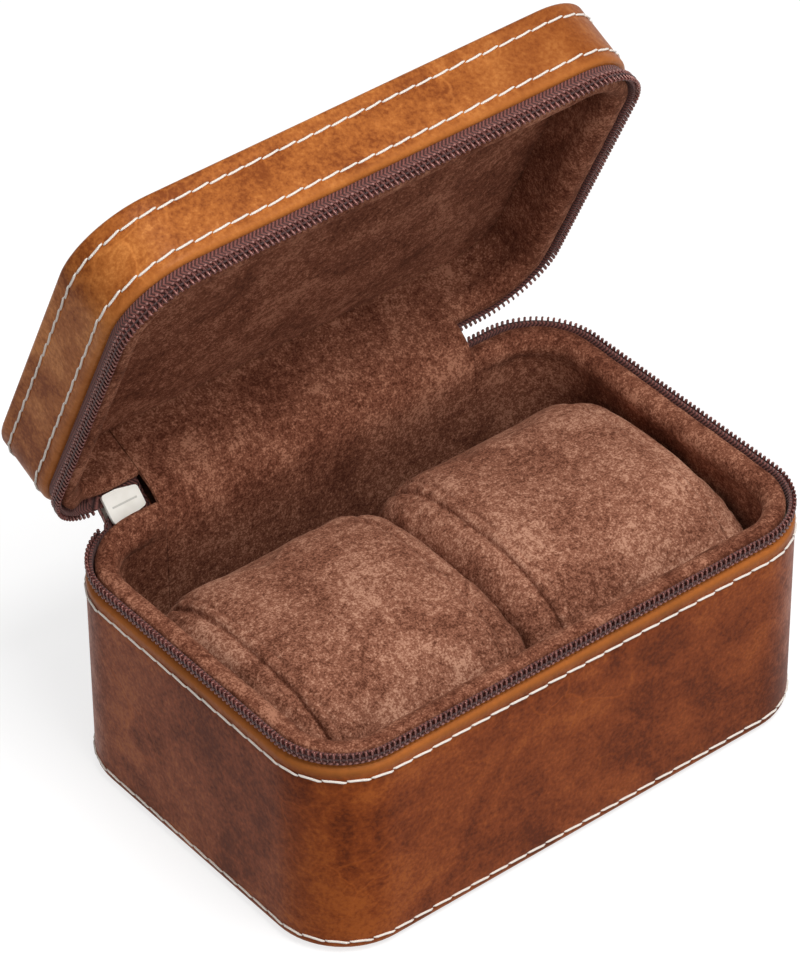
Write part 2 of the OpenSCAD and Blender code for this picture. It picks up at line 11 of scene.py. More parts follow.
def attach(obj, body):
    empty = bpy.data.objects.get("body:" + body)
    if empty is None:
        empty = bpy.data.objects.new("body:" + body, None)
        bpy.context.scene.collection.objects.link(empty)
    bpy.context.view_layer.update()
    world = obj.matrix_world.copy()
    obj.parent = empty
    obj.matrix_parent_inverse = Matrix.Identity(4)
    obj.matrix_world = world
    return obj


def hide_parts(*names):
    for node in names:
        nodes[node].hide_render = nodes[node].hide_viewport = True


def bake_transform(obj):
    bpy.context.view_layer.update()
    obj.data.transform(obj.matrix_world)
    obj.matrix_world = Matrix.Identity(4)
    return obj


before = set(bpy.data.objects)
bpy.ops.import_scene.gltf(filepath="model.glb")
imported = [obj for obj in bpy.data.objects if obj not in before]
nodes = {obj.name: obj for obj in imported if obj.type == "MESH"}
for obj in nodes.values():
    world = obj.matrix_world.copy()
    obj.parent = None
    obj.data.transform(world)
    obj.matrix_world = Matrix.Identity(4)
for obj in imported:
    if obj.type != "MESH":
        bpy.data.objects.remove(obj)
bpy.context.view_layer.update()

# Sizes in millimetres, as in the part. Everything of the lid is made shut and then swung open.
MM = 0.001
CASE_W = 128.0
CASE_D = 87.5
CORNER = 16.4
BASE_H = 48.2
ZIP_Z = 51.8
LID_EDGE = 56.5
CASE_H = 72.2
LEATHER = 1.2
TAPE = 0.6
AXIS_Y = 44.5
AXIS_Z = 49.05
OPEN_ANGLE = 65.5
SLIDER_ANGLE = 0.7 * OPEN_ANGLE
END_CUT = 0.15
WALL_O = -3.8
LINING_O = -5.8
LIP_O = -4.9
LIP_R = 2.0
HINGE_HALF = 40.0
ZIP_LEFT_X = -52.1
ZIP_RIGHT_X = 40.3
TOOTH_PITCH = 1.25

HALF_W = CASE_W / 2 - CORNER
HALF_D = CASE_D / 2 - CORNER
ARC = CORNER * math.pi / 2
WAY = 4 * (HALF_W + HALF_D) + 4 * ARC

random.seed(7)


# Camera


def aim_camera():
    """The photograph's view: a long lens from the front left, well above."""
    azimuth, elevation, roll = (math.radians(a) for a in (-38.72, 39.38, -0.47))
    target = Vector((4.27, 18.72, 49.98)) * MM
    back = Vector(
        (
            math.sin(azimuth) * math.cos(elevation),
            -math.cos(azimuth) * math.cos(elevation),
            math.sin(elevation),
        )
    )
    right = (-back).cross(Vector((0, 0, 1))).normalized()
    up = back.cross(right)
    right, up = (
        right * math.cos(roll) + up * math.sin(roll),
        up * math.cos(roll) - right * math.sin(roll),
    )
    data = bpy.data.cameras.new("camera")
    camera = bpy.data.objects.new("camera", data)
    bpy.context.scene.collection.objects.link(camera)
    turn = Matrix((right, up, back)).transposed().to_4x4()
    camera.matrix_world = Matrix.Translation(target + back * 1.0631) @ turn
    data.sensor_width = 36
    data.lens = 199.7
    data.clip_start, data.clip_end = 0.05, 20
    bpy.context.scene.camera = camera


aim_camera()


# Materials


def new_group(name, inputs, outputs):
    """A shader node group with named sockets, and its input and output nodes."""
    tree = bpy.data.node_groups.new(name, "ShaderNodeTree")
    for label, kind, value in inputs:
        socket = tree.interface.new_socket(label, in_out="INPUT", socket_type="NodeSocket" + kind)
        if value is not None:
            socket.default_value = value
    for label, kind in outputs:
        tree.interface.new_socket(label, in_out="OUTPUT", socket_type="NodeSocket" + kind)
    return tree, tree.nodes.new("NodeGroupInput").outputs, tree.nodes.new("NodeGroupOutput").inputs


def add(tree, kind, settings=None, **inputs):
    """Adds a node, and sets or links its inputs. An input's name has _ for a space, or is in_N."""
    node = tree.nodes.new("ShaderNode" + kind)
    for key, value in (settings or {}).items():
        setattr(node, key, value)
    for key, value in inputs.items():
        socket = node.inputs[int(key[3:])] if key.startswith("in_") else node.inputs[key.replace("_", " ")]
        if isinstance(value, bpy.types.NodeSocket):
            tree.links.new(value, socket)
        else:
            socket.default_value = value
    return node


def noise(tree, vector, scale, detail=3.0, roughness=0.5, distortion=0.0):
    return add(
        tree, "TexNoise", Vector=vector, Scale=scale, Detail=detail, Roughness=roughness, Distortion=distortion
    ).outputs["Fac"]


def math_node(tree, operation, a, b=0.0):
    return add(tree, "Math", {"operation": operation}, in_0=a, in_1=b).outputs[0]


def ramp(tree, value, low, high, to_low=0.0, to_high=1.0):
    """Stretches value so that low to high becomes to_low to to_high, smoothly and clamped."""
    return add(
        tree,
        "MapRange",
        {"interpolation_type": "SMOOTHSTEP"},
        Value=value,
        From_Min=low,
        From_Max=high,
        To_Min=to_low,
        To_Max=to_high,
    ).outputs["Result"]


def mix(tree, factor, a, b, blend="MIX"):
    node = add(tree, "Mix", {"data_type": "RGBA", "blend_type": blend}, in_0=factor, in_6=a, in_7=b)
    return node.outputs[2]


def colour(r, g, b):
    return (r, g, b, 1.0)


def cloudy_group():
    """Dye that lies unevenly in a hide: broad clouds, small blotches and pulled light streaks."""
    tree, given, result = new_group(
        "uneven dye",
        [
            ("Vector", "Vector", None),
            ("Dark", "Color", colour(0.1, 0.03, 0.01)),
            ("Middle", "Color", colour(0.25, 0.07, 0.02)),
            ("Light", "Color", colour(0.5, 0.15, 0.03)),
            ("Cloud Scale", "Float", 45.0),
        ],
        [("Color", "Color"), ("Mask", "Float")],
    )
    broad = noise(tree, given["Vector"], given["Cloud Scale"], 5.0, 0.55, 0.9)
    small = noise(tree, given["Vector"], math_node(tree, "MULTIPLY", given["Cloud Scale"], 4.2), 6.0, 0.65, 0.5)
    speck = noise(tree, given["Vector"], math_node(tree, "MULTIPLY", given["Cloud Scale"], 26.0), 3.0, 0.65)
    blend = math_node(tree, "ADD", math_node(tree, "MULTIPLY", broad, 0.62), math_node(tree, "MULTIPLY", small, 0.38))
    blend = math_node(tree, "ADD", blend, math_node(tree, "MULTIPLY", math_node(tree, "SUBTRACT", speck, 0.5), 0.42))
    low = mix(tree, ramp(tree, blend, 0.36, 0.54), given["Dark"], given["Middle"])
    full = mix(tree, ramp(tree, blend, 0.5, 0.68), low, given["Light"])
    tree.links.new(full, result["Color"])
    tree.links.new(blend, result["Mask"])
    return tree


def crease_group():
    """Thin wandering lines, as where a hide has been bent: a mask that is 1 on the lines."""
    tree, given, result = new_group(
        "pulled lines",
        [("Vector", "Vector", None), ("Scale", "Float", 70.0), ("Width", "Float", 0.03)],
        [("Mask", "Float")],
    )
    bend = add(tree, "TexNoise", Vector=given["Vector"], Scale=55.0, Detail=4.0).outputs["Color"]
    bend = add(tree, "VectorMath", {"operation": "SCALE"}, in_0=bend, Scale=0.022).outputs[0]
    moved = add(tree, "VectorMath", {"operation": "ADD"}, in_0=given["Vector"], in_1=bend).outputs[0]
    cells = add(
        tree, "TexVoronoi", {"feature": "DISTANCE_TO_EDGE"}, Vector=moved, Scale=given["Scale"]
    ).outputs["Distance"]
    line = add(
        tree, "MapRange", {"interpolation_type": "SMOOTHSTEP"}, Value=cells, From_Min=0.0, From_Max=given["Width"],
        To_Min=1.0, To_Max=0.0,
    ).outputs["Result"]
    where = ramp(tree, noise(tree, given["Vector"], 38.0, 2.0), 0.48, 0.68)
    tree.links.new(math_node(tree, "MULTIPLY", line, where), result["Mask"])
    return tree


def grain_group():
    """Pores and fine pebbling of a hide, as a height."""
    tree, given, result = new_group(
        "hide grain", [("Vector", "Vector", None), ("Scale", "Float", 1500.0)], [("Height", "Float")]
    )
    cells = add(
        tree, "TexVoronoi", {"feature": "SMOOTH_F1"}, Vector=given["Vector"], Scale=given["Scale"], Smoothness=0.6
    ).outputs["Distance"]
    fine = noise(tree, given["Vector"], math_node(tree, "MULTIPLY", given["Scale"], 0.45), 4.0, 0.6)
    tree.links.new(math_node(tree, "ADD", cells, math_node(tree, "MULTIPLY", fine, 0.9)), result["Height"])
    return tree


def nap_group():
    """Suede: fine fibres that catch the light one by one, brushed into soft patches."""
    tree, given, result = new_group(
        "suede nap",
        [
            ("Vector", "Vector", None),
            ("Dark", "Color", colour(0.1, 0.04, 0.03)),
            ("Middle", "Color", colour(0.2, 0.09, 0.05)),
            ("Light", "Color", colour(0.4, 0.22, 0.15)),
            ("Fibre Scale", "Float", 1500.0),
        ],
        [("Color", "Color"), ("Height", "Float")],
    )
    fibre = noise(tree, given["Vector"], given["Fibre Scale"], 3.0, 0.7)
    tuft = noise(tree, given["Vector"], math_node(tree, "MULTIPLY", given["Fibre Scale"], 0.32), 3.0, 0.6)
    brushed = noise(tree, given["Vector"], 70.0, 4.0, 0.55, 0.8)
    speckle = math_node(
        tree, "ADD", math_node(tree, "MULTIPLY", fibre, 0.62), math_node(tree, "MULTIPLY", tuft, 0.38)
    )
    value = math_node(
        tree, "ADD", speckle, math_node(tree, "MULTIPLY", math_node(tree, "SUBTRACT", brushed, 0.5), 0.42)
    )
    low = mix(tree, ramp(tree, value, 0.38, 0.5), given["Dark"], given["Middle"])
    full = mix(tree, ramp(tree, value, 0.5, 0.63), low, given["Light"])
    tree.links.new(full, result["Color"])
    tree.links.new(speckle, result["Height"])
    return tree


def weave_group():
    """Herringbone ribs on a tape: UV runs along it and across it, in millimetres."""
    tree, given, result = new_group(
        "tape weave",
        [("UV", "Vector", None), ("Pitch", "Float", 1.25), ("Rib Width", "Float", 1.6)],
        [("Height", "Float"), ("Lit Rib Thread", "Float")],
    )
    split = add(tree, "SeparateXYZ", Vector=given["UV"])
    along = math_node(tree, "DIVIDE", split.outputs[0], given["Pitch"])
    across = math_node(tree, "DIVIDE", split.outputs[1], given["Rib Width"])
    zigzag = math_node(tree, "PINGPONG", across, 1.0)
    phase = math_node(tree, "FRACT", math_node(tree, "SUBTRACT", along, math_node(tree, "MULTIPLY", zigzag, 2.0)))
    rib = math_node(tree, "PINGPONG", phase, 0.5)
    rib = math_node(tree, "MULTIPLY", rib, 2.0)
    fleck = noise(tree, given["UV"], 3.0, 2.0)
    tree.links.new(rib, result["Height"])
    # The rib height, flecked: where rib tops are painted paler, partly thread and partly painted highlight.
    tree.links.new(math_node(tree, "MULTIPLY", rib, ramp(tree, fleck, 0.35, 0.65, 0.6, 1.0)), result["Lit Rib Thread"])
    return tree


UNEVEN_DYE = cloudy_group()
PULLED_LINES = crease_group()
HIDE_GRAIN = grain_group()
SUEDE_NAP = nap_group()
TAPE_WEAVE = weave_group()


def place_group(tree, group, **inputs):
    node = tree.nodes.new("ShaderNodeGroup")
    node.node_tree = group
    for key, value in inputs.items():
        socket = node.inputs[key.replace("_", " ")]
        if isinstance(value, bpy.types.NodeSocket):
            tree.links.new(value, socket)
        else:
            socket.default_value = value
    return node.outputs


def new_material(name, **sockets):
    """A material with one Principled shader, whose uniform numbers are set on it."""
    material = bpy.data.materials.new(name)
    material.use_nodes = True
    tree = material.node_tree
    shader = tree.nodes["Principled BSDF"]
    for key, value in sockets.items():
        shader.inputs[key.replace("_", " ")].default_value = value
    return material, tree, shader


def bump(tree, shader, height, distance, strength=1.0):
    node = add(tree, "Bump", Height=height, Distance=distance, Strength=strength)
    tree.links.new(node.outputs["Normal"], shader.inputs["Normal"])


def leather_material(name, dark, middle, light, shift, right_end_shade=0.0):
    """Waxed pull-up leather: clouded, with pale pulled lines, a paler rim that is partly wear and partly painted
    highlight, and a right end darkened as painted shade.
    """
    material, tree, shader = new_material(name, Specular_IOR_Level=0.09)
    place = add(tree, "TexCoord").outputs["Object"]
    place = add(tree, "Mapping", Vector=place, Location=shift).outputs[0]
    dye = place_group(tree, UNEVEN_DYE, Vector=place, Dark=dark, Middle=middle, Light=light, Cloud_Scale=42.0)
    lines = place_group(tree, PULLED_LINES, Vector=place, Scale=62.0, Width=0.035)["Mask"]
    wear_and_highlight = add(tree, "Attribute", {"attribute_name": "rim"}).outputs["Fac"]
    pale = colour(*[min(1.0, c * 1.35) for c in light[:3]])
    shade = mix(tree, math_node(tree, "MULTIPLY", lines, 0.3), dye["Color"], pale)
    if right_end_shade:
        # Painted shade: towards the right end the colour goes part of the way to the dark colour.
        along = add(tree, "SeparateXYZ", Vector=add(tree, "TexCoord").outputs["Object"]).outputs[0]
        shade = mix(tree, ramp(tree, along, 0.0, 0.055, 0.0, right_end_shade), shade, dark)
    # Painted highlight and wear: the rounded rims are mixed towards a pale orange, partly for wear and partly for the
    # light they catch.
    shade = mix(tree, math_node(tree, "MULTIPLY", wear_and_highlight, 0.6), shade, colour(0.5, 0.165, 0.035))
    tree.links.new(shade, shader.inputs["Base Color"])
    grain = place_group(tree, HIDE_GRAIN, Vector=place, Scale=1450.0)["Height"]
    tree.links.new(ramp(tree, dye["Mask"], 0.35, 0.65, 0.5, 0.36), shader.inputs["Roughness"])
    height = math_node(tree, "ADD", grain, math_node(tree, "MULTIPLY", lines, -0.6))
    bump(tree, shader, height, 0.00006, 0.5)
    return material


def suede_material(name, dark, middle, light, fibre=2300.0):
    material, tree, shader = new_material(
        name, Roughness=0.95, Specular_IOR_Level=0.08, Sheen_Weight=0.12, Sheen_Roughness=0.4,
        Sheen_Tint=colour(0.75, 0.42, 0.28),
    )
    place = add(tree, "TexCoord").outputs["Object"]
    nap = place_group(tree, SUEDE_NAP, Vector=place, Dark=dark, Middle=middle, Light=light, Fibre_Scale=fibre)
    tree.links.new(nap["Color"], shader.inputs["Base Color"])
    bump(tree, shader, nap["Height"], 0.00022, 0.7)
    return material


def tape_material():
    """Woven zip tape in dark brown, with paler threads on the rib tops and near-black grooves: the weave's pattern,
    with painted highlight and painted shade on the ribs.
    """
    material, tree, shader = new_material(
        "woven zip tape", Roughness=0.68, Specular_IOR_Level=0.35, Sheen_Weight=0.1
    )
    ribs = place_group(tree, TAPE_WEAVE, UV=add(tree, "UVMap").outputs[0], Pitch=0.9, Rib_Width=2.216)
    # Near-black between the ribs and pale on their tops: painted shade and painted highlight on the weave.
    shade = mix(tree, ribs["Lit Rib Thread"], colour(0.014, 0.002, 0.002), colour(0.32, 0.112, 0.092))
    tree.links.new(shade, shader.inputs["Base Color"])
    bump(tree, shader, ribs["Height"], 0.00022, 0.9)
    return material


def plain_material(name, low, high, scale, roughness, height=0.00005, **sockets):
    """A finish with a fine uneven shade: coil nylon, thread, metal, card, board and foam."""
    material, tree, shader = new_material(name, **sockets)
    place = add(tree, "TexCoord").outputs["Object"]
    value = noise(tree, place, scale, 4.0, 0.6)
    shade = mix(tree, ramp(tree, value, 0.35, 0.65), low, high)
    tree.links.new(shade, shader.inputs["Base Color"])
    tree.links.new(ramp(tree, value, 0.3, 0.7, roughness - 0.05, roughness + 0.05), shader.inputs["Roughness"])
    bump(tree, shader, value, height, 0.4)
    return material


def thread_material(name, low, high):
    """Twisted sewing thread: UV runs along a stitch, so the twist follows it."""
    material, tree, shader = new_material(name, Roughness=0.62, Specular_IOR_Level=0.35, Sheen_Weight=0.4)
    split = add(tree, "SeparateXYZ", Vector=add(tree, "UVMap").outputs[0])
    twist = math_node(tree, "ADD", math_node(tree, "MULTIPLY", split.outputs[1], 5.0), split.outputs[0])
    ply = math_node(tree, "PINGPONG", math_node(tree, "MULTIPLY", twist, 2.0), 0.5)
    shade = mix(tree, ramp(tree, ply, 0.05, 0.3), low, high)
    tree.links.new(shade, shader.inputs["Base Color"])
    bump(tree, shader, ply, 0.00015, 0.5)
    return material


# Painted light: the same tan leather in two copies, the base's painted darker and the lid's painted lighter, for how
# the light falls on them.
LEATHER_BASE_SHADED = leather_material(
    "tan leather base painted darker", colour(0.11, 0.02, 0.0035), colour(0.235, 0.047, 0.008), colour(0.38, 0.093, 0.016),
    (0.013, 0.02, 0.05),
)
LEATHER_LID_LIT = leather_material(
    "tan leather lid painted lighter", colour(0.22, 0.052, 0.009), colour(0.41, 0.122, 0.024), colour(0.62, 0.225, 0.055),
    # 0.5: how far the right end is darkened, as painted shade.
    (0.31, 0.12, 0.4), 0.5,
)
SUEDE = suede_material(
    "brown suede", colour(0.095, 0.028, 0.015), colour(0.21, 0.073, 0.041), colour(0.46, 0.205, 0.125),
)
# Painted light: a lighter copy of the lining suede, for the brightly lit cushion fronts.
CUSHION_SUEDE_LIT = suede_material(
    "cushion suede painted lighter", colour(0.12, 0.04, 0.022), colour(0.285, 0.112, 0.067), colour(0.56, 0.29, 0.19)
)
# Painted shade: near black, for the dark gap where the hinge leather's inner side shows.
FLESH_SIDE_IN_PAINTED_SHADE = suede_material(
    "flesh side of the hinge leather in painted shade", colour(0.02, 0.008, 0.006), colour(0.04, 0.015, 0.01), colour(0.08, 0.03, 0.02)
)
TAPE_FINISH = tape_material()
COIL = plain_material(
    "coil nylon", colour(0.08, 0.018, 0.016), colour(0.2, 0.06, 0.05), 900.0, 0.24, Specular_IOR_Level=0.9,
    Specular_Tint=colour(1.0, 0.66, 0.58),
)
COIL_THREAD = plain_material(
    "coil sewing thread", colour(0.022, 0.006, 0.006), colour(0.055, 0.016, 0.014), 2500.0, 0.7
)
# Paler than the coil: an edge thread, drawn lighter as painted highlight on the coil's turns.
COIL_EDGE_THREAD_AND_HIGHLIGHT = plain_material(
    "coil edge thread and painted highlight", colour(0.17, 0.06, 0.05), colour(0.38, 0.175, 0.15), 2500.0, 0.5
)
THREAD = thread_material("cream thread", colour(0.9, 0.78, 0.66), colour(1.0, 0.95, 0.88))
SUEDE_THREAD = thread_material("brown thread", colour(0.06, 0.022, 0.014), colour(0.16, 0.07, 0.045))
# Partly painted reflection: a near-white, mostly non-metallic colour stands in for the white surroundings that the
# satin nickel reflects.
NICKEL_AND_PAINTED_REFLECTION = plain_material(
    "satin nickel", colour(0.9, 0.87, 0.79), colour(0.97, 0.94, 0.87), 220.0, 0.38, 0.00001, Metallic=0.2
)
BOARD = plain_material("grey board", colour(0.3, 0.24, 0.17), colour(0.4, 0.33, 0.24), 300.0, 0.9)
FOAM = plain_material("pale foam", colour(0.62, 0.58, 0.48), colour(0.74, 0.7, 0.6), 700.0, 0.95, 0.0002)



def darken_groove():
    """Shade in the slider's groove, whose depth soft light hardly shows."""
    tree = NICKEL_AND_PAINTED_REFLECTION.node_tree
    shader = tree.nodes["Principled BSDF"]
    tilt = math.radians(SLIDER_ANGLE)
    across = Vector((0, math.sin(tilt), math.cos(tilt)))
    inward = Vector((0, -math.cos(tilt), math.sin(tilt)))
    axis = Vector((0, AXIS_Y, AXIS_Z)) * MM
    reach = Vector((0, CASE_D / 2 - 0.9 - AXIS_Y, ZIP_Z - AXIS_Z)) * MM
    turned = Matrix.Rotation(-tilt, 4, "X") @ reach
    place = add(tree, "TexCoord").outputs["Object"]
    middle = Vector((SLIDER_X * MM, 0, 0)) + axis + turned
    local = add(tree, "VectorMath", {"operation": "SUBTRACT"}, in_0=place, in_1=middle).outputs[0]
    mask = 1.0
    for direction, low, high in ((across, 0.27, 0.12), (Vector((1, 0, 0)), 3.1, 2.9)):
        along = add(tree, "VectorMath", {"operation": "DOT_PRODUCT"}, in_0=local, in_1=direction).outputs["Value"]
        away = math_node(tree, "ABSOLUTE", along)
        mask = math_node(tree, "MULTIPLY", mask, ramp(tree, away, high * MM, low * MM, 1.0, 0.0))
    depth = add(tree, "VectorMath", {"operation": "DOT_PRODUCT"}, in_0=local, in_1=inward).outputs["Value"]
    mask = math_node(tree, "MULTIPLY", mask, ramp(tree, depth, 1.5 * MM, 1.55 * MM))
    old = shader.inputs["Base Color"].links[0].from_socket
    shade = mix(tree, math_node(tree, "MULTIPLY", mask, 0.42), old, colour(0.12, 0.11, 0.1))
    tree.links.new(shade, shader.inputs["Base Color"])


SLIDER_X = -45.6
darken_groove()

for name, node in nodes.items():
    finish = SUEDE
    if "leather" in name or "foot" in name:
        finish = LEATHER_LID_LIT if name.startswith("lid") else LEATHER_BASE_SHADED
    elif "board" in name or "card" in name:
        finish = BOARD
    elif "foam" in name:
        finish = FOAM
    elif "tape" in name:
        finish = TAPE_FINISH
    elif "teeth" in name:
        finish = COIL
    elif "stop" in name or name in ("zip_slider", "zip_pull"):
        finish = NICKEL_AND_PAINTED_REFLECTION
    node.data.materials.clear()
    node.data.materials.append(finish)


# Tools of the bench


def open_new(name):
    """Starts an empty mesh called name, open in edit mode."""
    bpy.ops.object.select_all(action="DESELECT")
    bpy.ops.mesh.primitive_plane_add(size=MM)
    piece = bpy.context.object
    piece.name = piece.data.name = name
    bpy.ops.object.mode_set(mode="EDIT")
    bpy.ops.mesh.select_mode(type="VERT")
    bpy.ops.mesh.select_all(action="SELECT")
    bpy.ops.mesh.delete(type="VERT")
    return piece


def draw_line(points, closed=True):
    """Draws a line through points, in metres, one vertex pulled out of the last."""
    bpy.ops.mesh.select_all(action="DESELECT")
    bpy.ops.mesh.primitive_plane_add(size=MM, location=points[0])
    bpy.ops.mesh.merge(type="CENTER")
    for a, b in zip(points, points[1:]):
        bpy.ops.mesh.extrude_vertices_move(TRANSFORM_OT_translate={"value": Vector(b) - Vector(a)})
    bpy.ops.mesh.select_all(action="SELECT")
    if closed:
        bpy.ops.mesh.edge_face_add()
        bpy.ops.mesh.delete(type="ONLY_FACE")
        bpy.ops.mesh.select_all(action="SELECT")


def close_mesh(piece, material, sharp=40):
    """Merges doubles, turns the faces outward, leaves edit mode and gives the finish."""
    bpy.ops.mesh.select_all(action="SELECT")
    bpy.ops.mesh.remove_doubles(threshold=0.002 * MM)
    bpy.ops.mesh.normals_make_consistent(inside=False)
    bpy.ops.object.mode_set(mode="OBJECT")
    piece.data.materials.clear()
    piece.data.materials.append(material)
    bpy.ops.object.select_all(action="DESELECT")
    piece.select_set(True)
    bpy.context.view_layer.objects.active = piece
    bpy.ops.object.shade_smooth_by_angle(angle=math.radians(sharp))
    return piece


def go(x, y, cuts):
    """Pulls the selected section along by x, y in so many equal lengths."""
    for _ in range(cuts):
        bpy.ops.mesh.extrude_region_move(
            TRANSFORM_OT_translate={"value": (x * MM / cuts, y * MM / cuts, 0)}
        )


def turn_corner(x, y, angle=90, steps=16):
    """Spins the selected section clockwise, seen from above, round an upright corner."""
    bpy.ops.mesh.spin(
        steps=steps, angle=math.radians(angle), center=(x * MM, y * MM, 0), axis=(0, 0, 1), use_auto_merge=False
    )


def cap_ends(xs):
    """Closes the open ends of a section that doesn't go all the way round."""
    for x in xs:
        select_edges(lambda e: e.is_boundary and abs(e.verts[0].co.x - x * MM) < 0.6 * MM)
        bpy.ops.mesh.edge_face_add()


def select_edges(test):
    """Selects the edges that pass test, in edit mode, and leaves edge selection on."""
    bpy.ops.mesh.select_mode(type="EDGE")
    mesh = bpy.context.object.data
    edit = bmesh.from_edit_mesh(mesh)
    for part in (edit.verts, edit.edges, edit.faces):
        for p in part:
            p.select = False
    for edge in edit.edges:
        if test(edge):
            edge.select = True
            edge.verts[0].select = edge.verts[1].select = True
    edit.select_flush_mode()
    bmesh.update_edit_mesh(mesh)


def round_the_case(name, section, start_x=0.0, end_x=0.0, cut=3.0):
    """Draws a section at the back of the case and runs it round by the right side and the front.

    The section is a list of (offset from the outer face, height), in millimetres.
    """
    piece = open_new(name)
    draw_line([(start_x * MM, (CASE_D / 2 + o) * MM, z * MM) for o, z in section])
    long_cuts, side_cuts = round(2 * HALF_W / cut), round(2 * HALF_D / cut)
    go(END_CUT, 0, 1)
    go(HALF_W - start_x - END_CUT, 0, max(1, round((HALF_W - start_x) / cut)))
    turn_corner(HALF_W, HALF_D)
    go(0, -2 * HALF_D, side_cuts)
    turn_corner(HALF_W, -HALF_D)
    go(-2 * HALF_W, 0, long_cuts)
    turn_corner(-HALF_W, -HALF_D)
    go(0, 2 * HALF_D, side_cuts)
    if end_x < -HALF_W:
        part = math.degrees(math.acos((-HALF_W - end_x) / CORNER))
        turn_corner(-HALF_W, HALF_D, part)
    else:
        turn_corner(-HALF_W, HALF_D)
        go(HALF_W + end_x - END_CUT, 0, max(1, round((HALF_W + end_x) / cut)))
        go(END_CUT, 0, 1)
    if start_x != end_x:
        bpy.ops.mesh.edge_face_add()
        select_edges(
            lambda e: e.is_boundary and max(abs(v.co.x - start_x * MM) for v in e.verts) < 0.01 * MM
        )
        bpy.ops.mesh.edge_face_add()
    return piece


def way_round(x, y):
    """How far round the case a point lies, clockwise from the middle of the back."""
    dx = x - max(-HALF_W, min(HALF_W, x))
    dy = y - max(-HALF_D, min(HALF_D, y))
    side = [HALF_W, HALF_W + ARC + 2 * HALF_D, 3 * HALF_W + 2 * ARC + 2 * HALF_D]
    side.append(3 * HALF_W + 3 * ARC + 4 * HALF_D)
    if abs(dx) < 1e-6:
        return (x if x >= 0 else WAY + x) if y > 0 else side[1] + ARC + HALF_W - x
    if abs(dy) < 1e-6:
        return side[0] + ARC + HALF_D - y if x > 0 else side[2] + ARC + y + HALF_D
    angle = math.atan2(dx, dy) % (2 * math.pi)
    quarter = int(angle / (math.pi / 2))
    return side[quarter] + CORNER * (angle - quarter * math.pi / 2)


def place_round(s, offset):
    """The point at a way s round the case, and the angle that faces outward, clockwise from +Y."""
    s = s % WAY
    out = offset
    legs = [
        (HALF_W, None, (0, CASE_D / 2), (1, 0), 0),
        (ARC, (HALF_W, HALF_D), None, None, 0),
        (2 * HALF_D, None, (CASE_W / 2, HALF_D), (0, -1), 90),
        (ARC, (HALF_W, -HALF_D), None, None, 90),
        (2 * HALF_W, None, (HALF_W, -CASE_D / 2), (-1, 0), 180),
        (ARC, (-HALF_W, -HALF_D), None, None, 180),
        (2 * HALF_D, None, (-CASE_W / 2, -HALF_D), (0, 1), 270),
        (ARC, (-HALF_W, HALF_D), None, None, 270),
        (HALF_W, None, (-HALF_W, CASE_D / 2), (1, 0), 0),
    ]
    for length, centre, begin, along, facing in legs:
        if s <= length:
            break
        s -= length
    if centre:
        facing += math.degrees(s / CORNER)
        a = math.radians(facing)
        return (
            centre[0] + (CORNER + out) * math.sin(a),
            centre[1] + (CORNER + out) * math.cos(a),
            facing,
        )
    a = math.radians(facing)
    return (
        begin[0] + along[0] * s + out * math.sin(a),
        begin[1] + along[1] * s + out * math.cos(a),
        facing,
    )


def lay_uv(piece):
    """A UV map in millimetres: round the case, and up it."""
    mesh = piece.data
    layer = mesh.uv_layers.new(name="UVMap") if not mesh.uv_layers else mesh.uv_layers[0]
    for face in mesh.polygons:
        rounds = [way_round(mesh.vertices[v].co.x / MM, mesh.vertices[v].co.y / MM) for v in face.vertices]
        seam = max(rounds) - min(rounds) > WAY / 2
        for loop, v, s in zip(face.loop_indices, face.vertices, rounds):
            layer.data[loop].uv = (s + (WAY if seam and s < WAY / 2 else 0), mesh.vertices[v].co.z / MM)


def mark_rim(piece, shade):
    """Stores how much paler the leather is drawn at each point, as the attribute rim: partly wear, partly painted
    highlight.
    """
    mark = piece.data.attributes.new("rim", "FLOAT", "POINT")
    for vertex, item in zip(piece.data.vertices, mark.data):
        item.value = shade(vertex.co.z / MM)


def swing(piece, angle=OPEN_ANGLE):
    """Swings a piece that was made shut open about the hinge axis."""
    centre = Matrix.Translation((0, AXIS_Y * MM, AXIS_Z * MM))
    piece.data.transform(centre @ Matrix.Rotation(math.radians(-angle), 4, "X") @ centre.inverted())
    return piece


def copies(model, name, places):
    """Copies a model to each place, each copy with its own mesh, and joins them as one piece."""
    bpy.ops.object.select_all(action="DESELECT")
    for place in places:
        copy = model.copy()
        copy.data = model.data.copy()
        bpy.context.scene.collection.objects.link(copy)
        copy.data.transform(place)
        copy.select_set(True)
    bpy.context.view_layer.objects.active = copy
    bpy.ops.object.join()
    joined = bpy.context.object
    joined.name = joined.data.name = name
    return joined


def drop(model):
    mesh = model.data
    bpy.data.objects.remove(model)
    bpy.data.meshes.remove(mesh)


def finish_piece(piece, body, slot_name, *replaced):
    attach(piece, body)
    if replaced:
        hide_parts(*replaced)
    return piece


def arc_points(centre, radius, start, end, steps):
    """Points of an arc in a section, from one angle to another, in degrees."""
    return [
        (
            centre[0] + radius * math.cos(math.radians(start + (end - start) * k / steps)),
            centre[1] + radius * math.sin(math.radians(start + (end - start) * k / steps)),
        )
        for k in range(steps + 1)
    ]


def channel(z, depth=0.16, half=0.75):
    """The shallow groove that a row of stitches pulls into the leather."""
    return [
        (0, z - 2.2 * half),
        (-0.25 * depth, z - half),
        (-depth, z),
        (-0.25 * depth, z + half),
        (0, z + 2.2 * half),
    ]


# Leather walls

BASE_ROWS = (2.9, 45.0)
LID_ROWS = (59.45, 68.7)


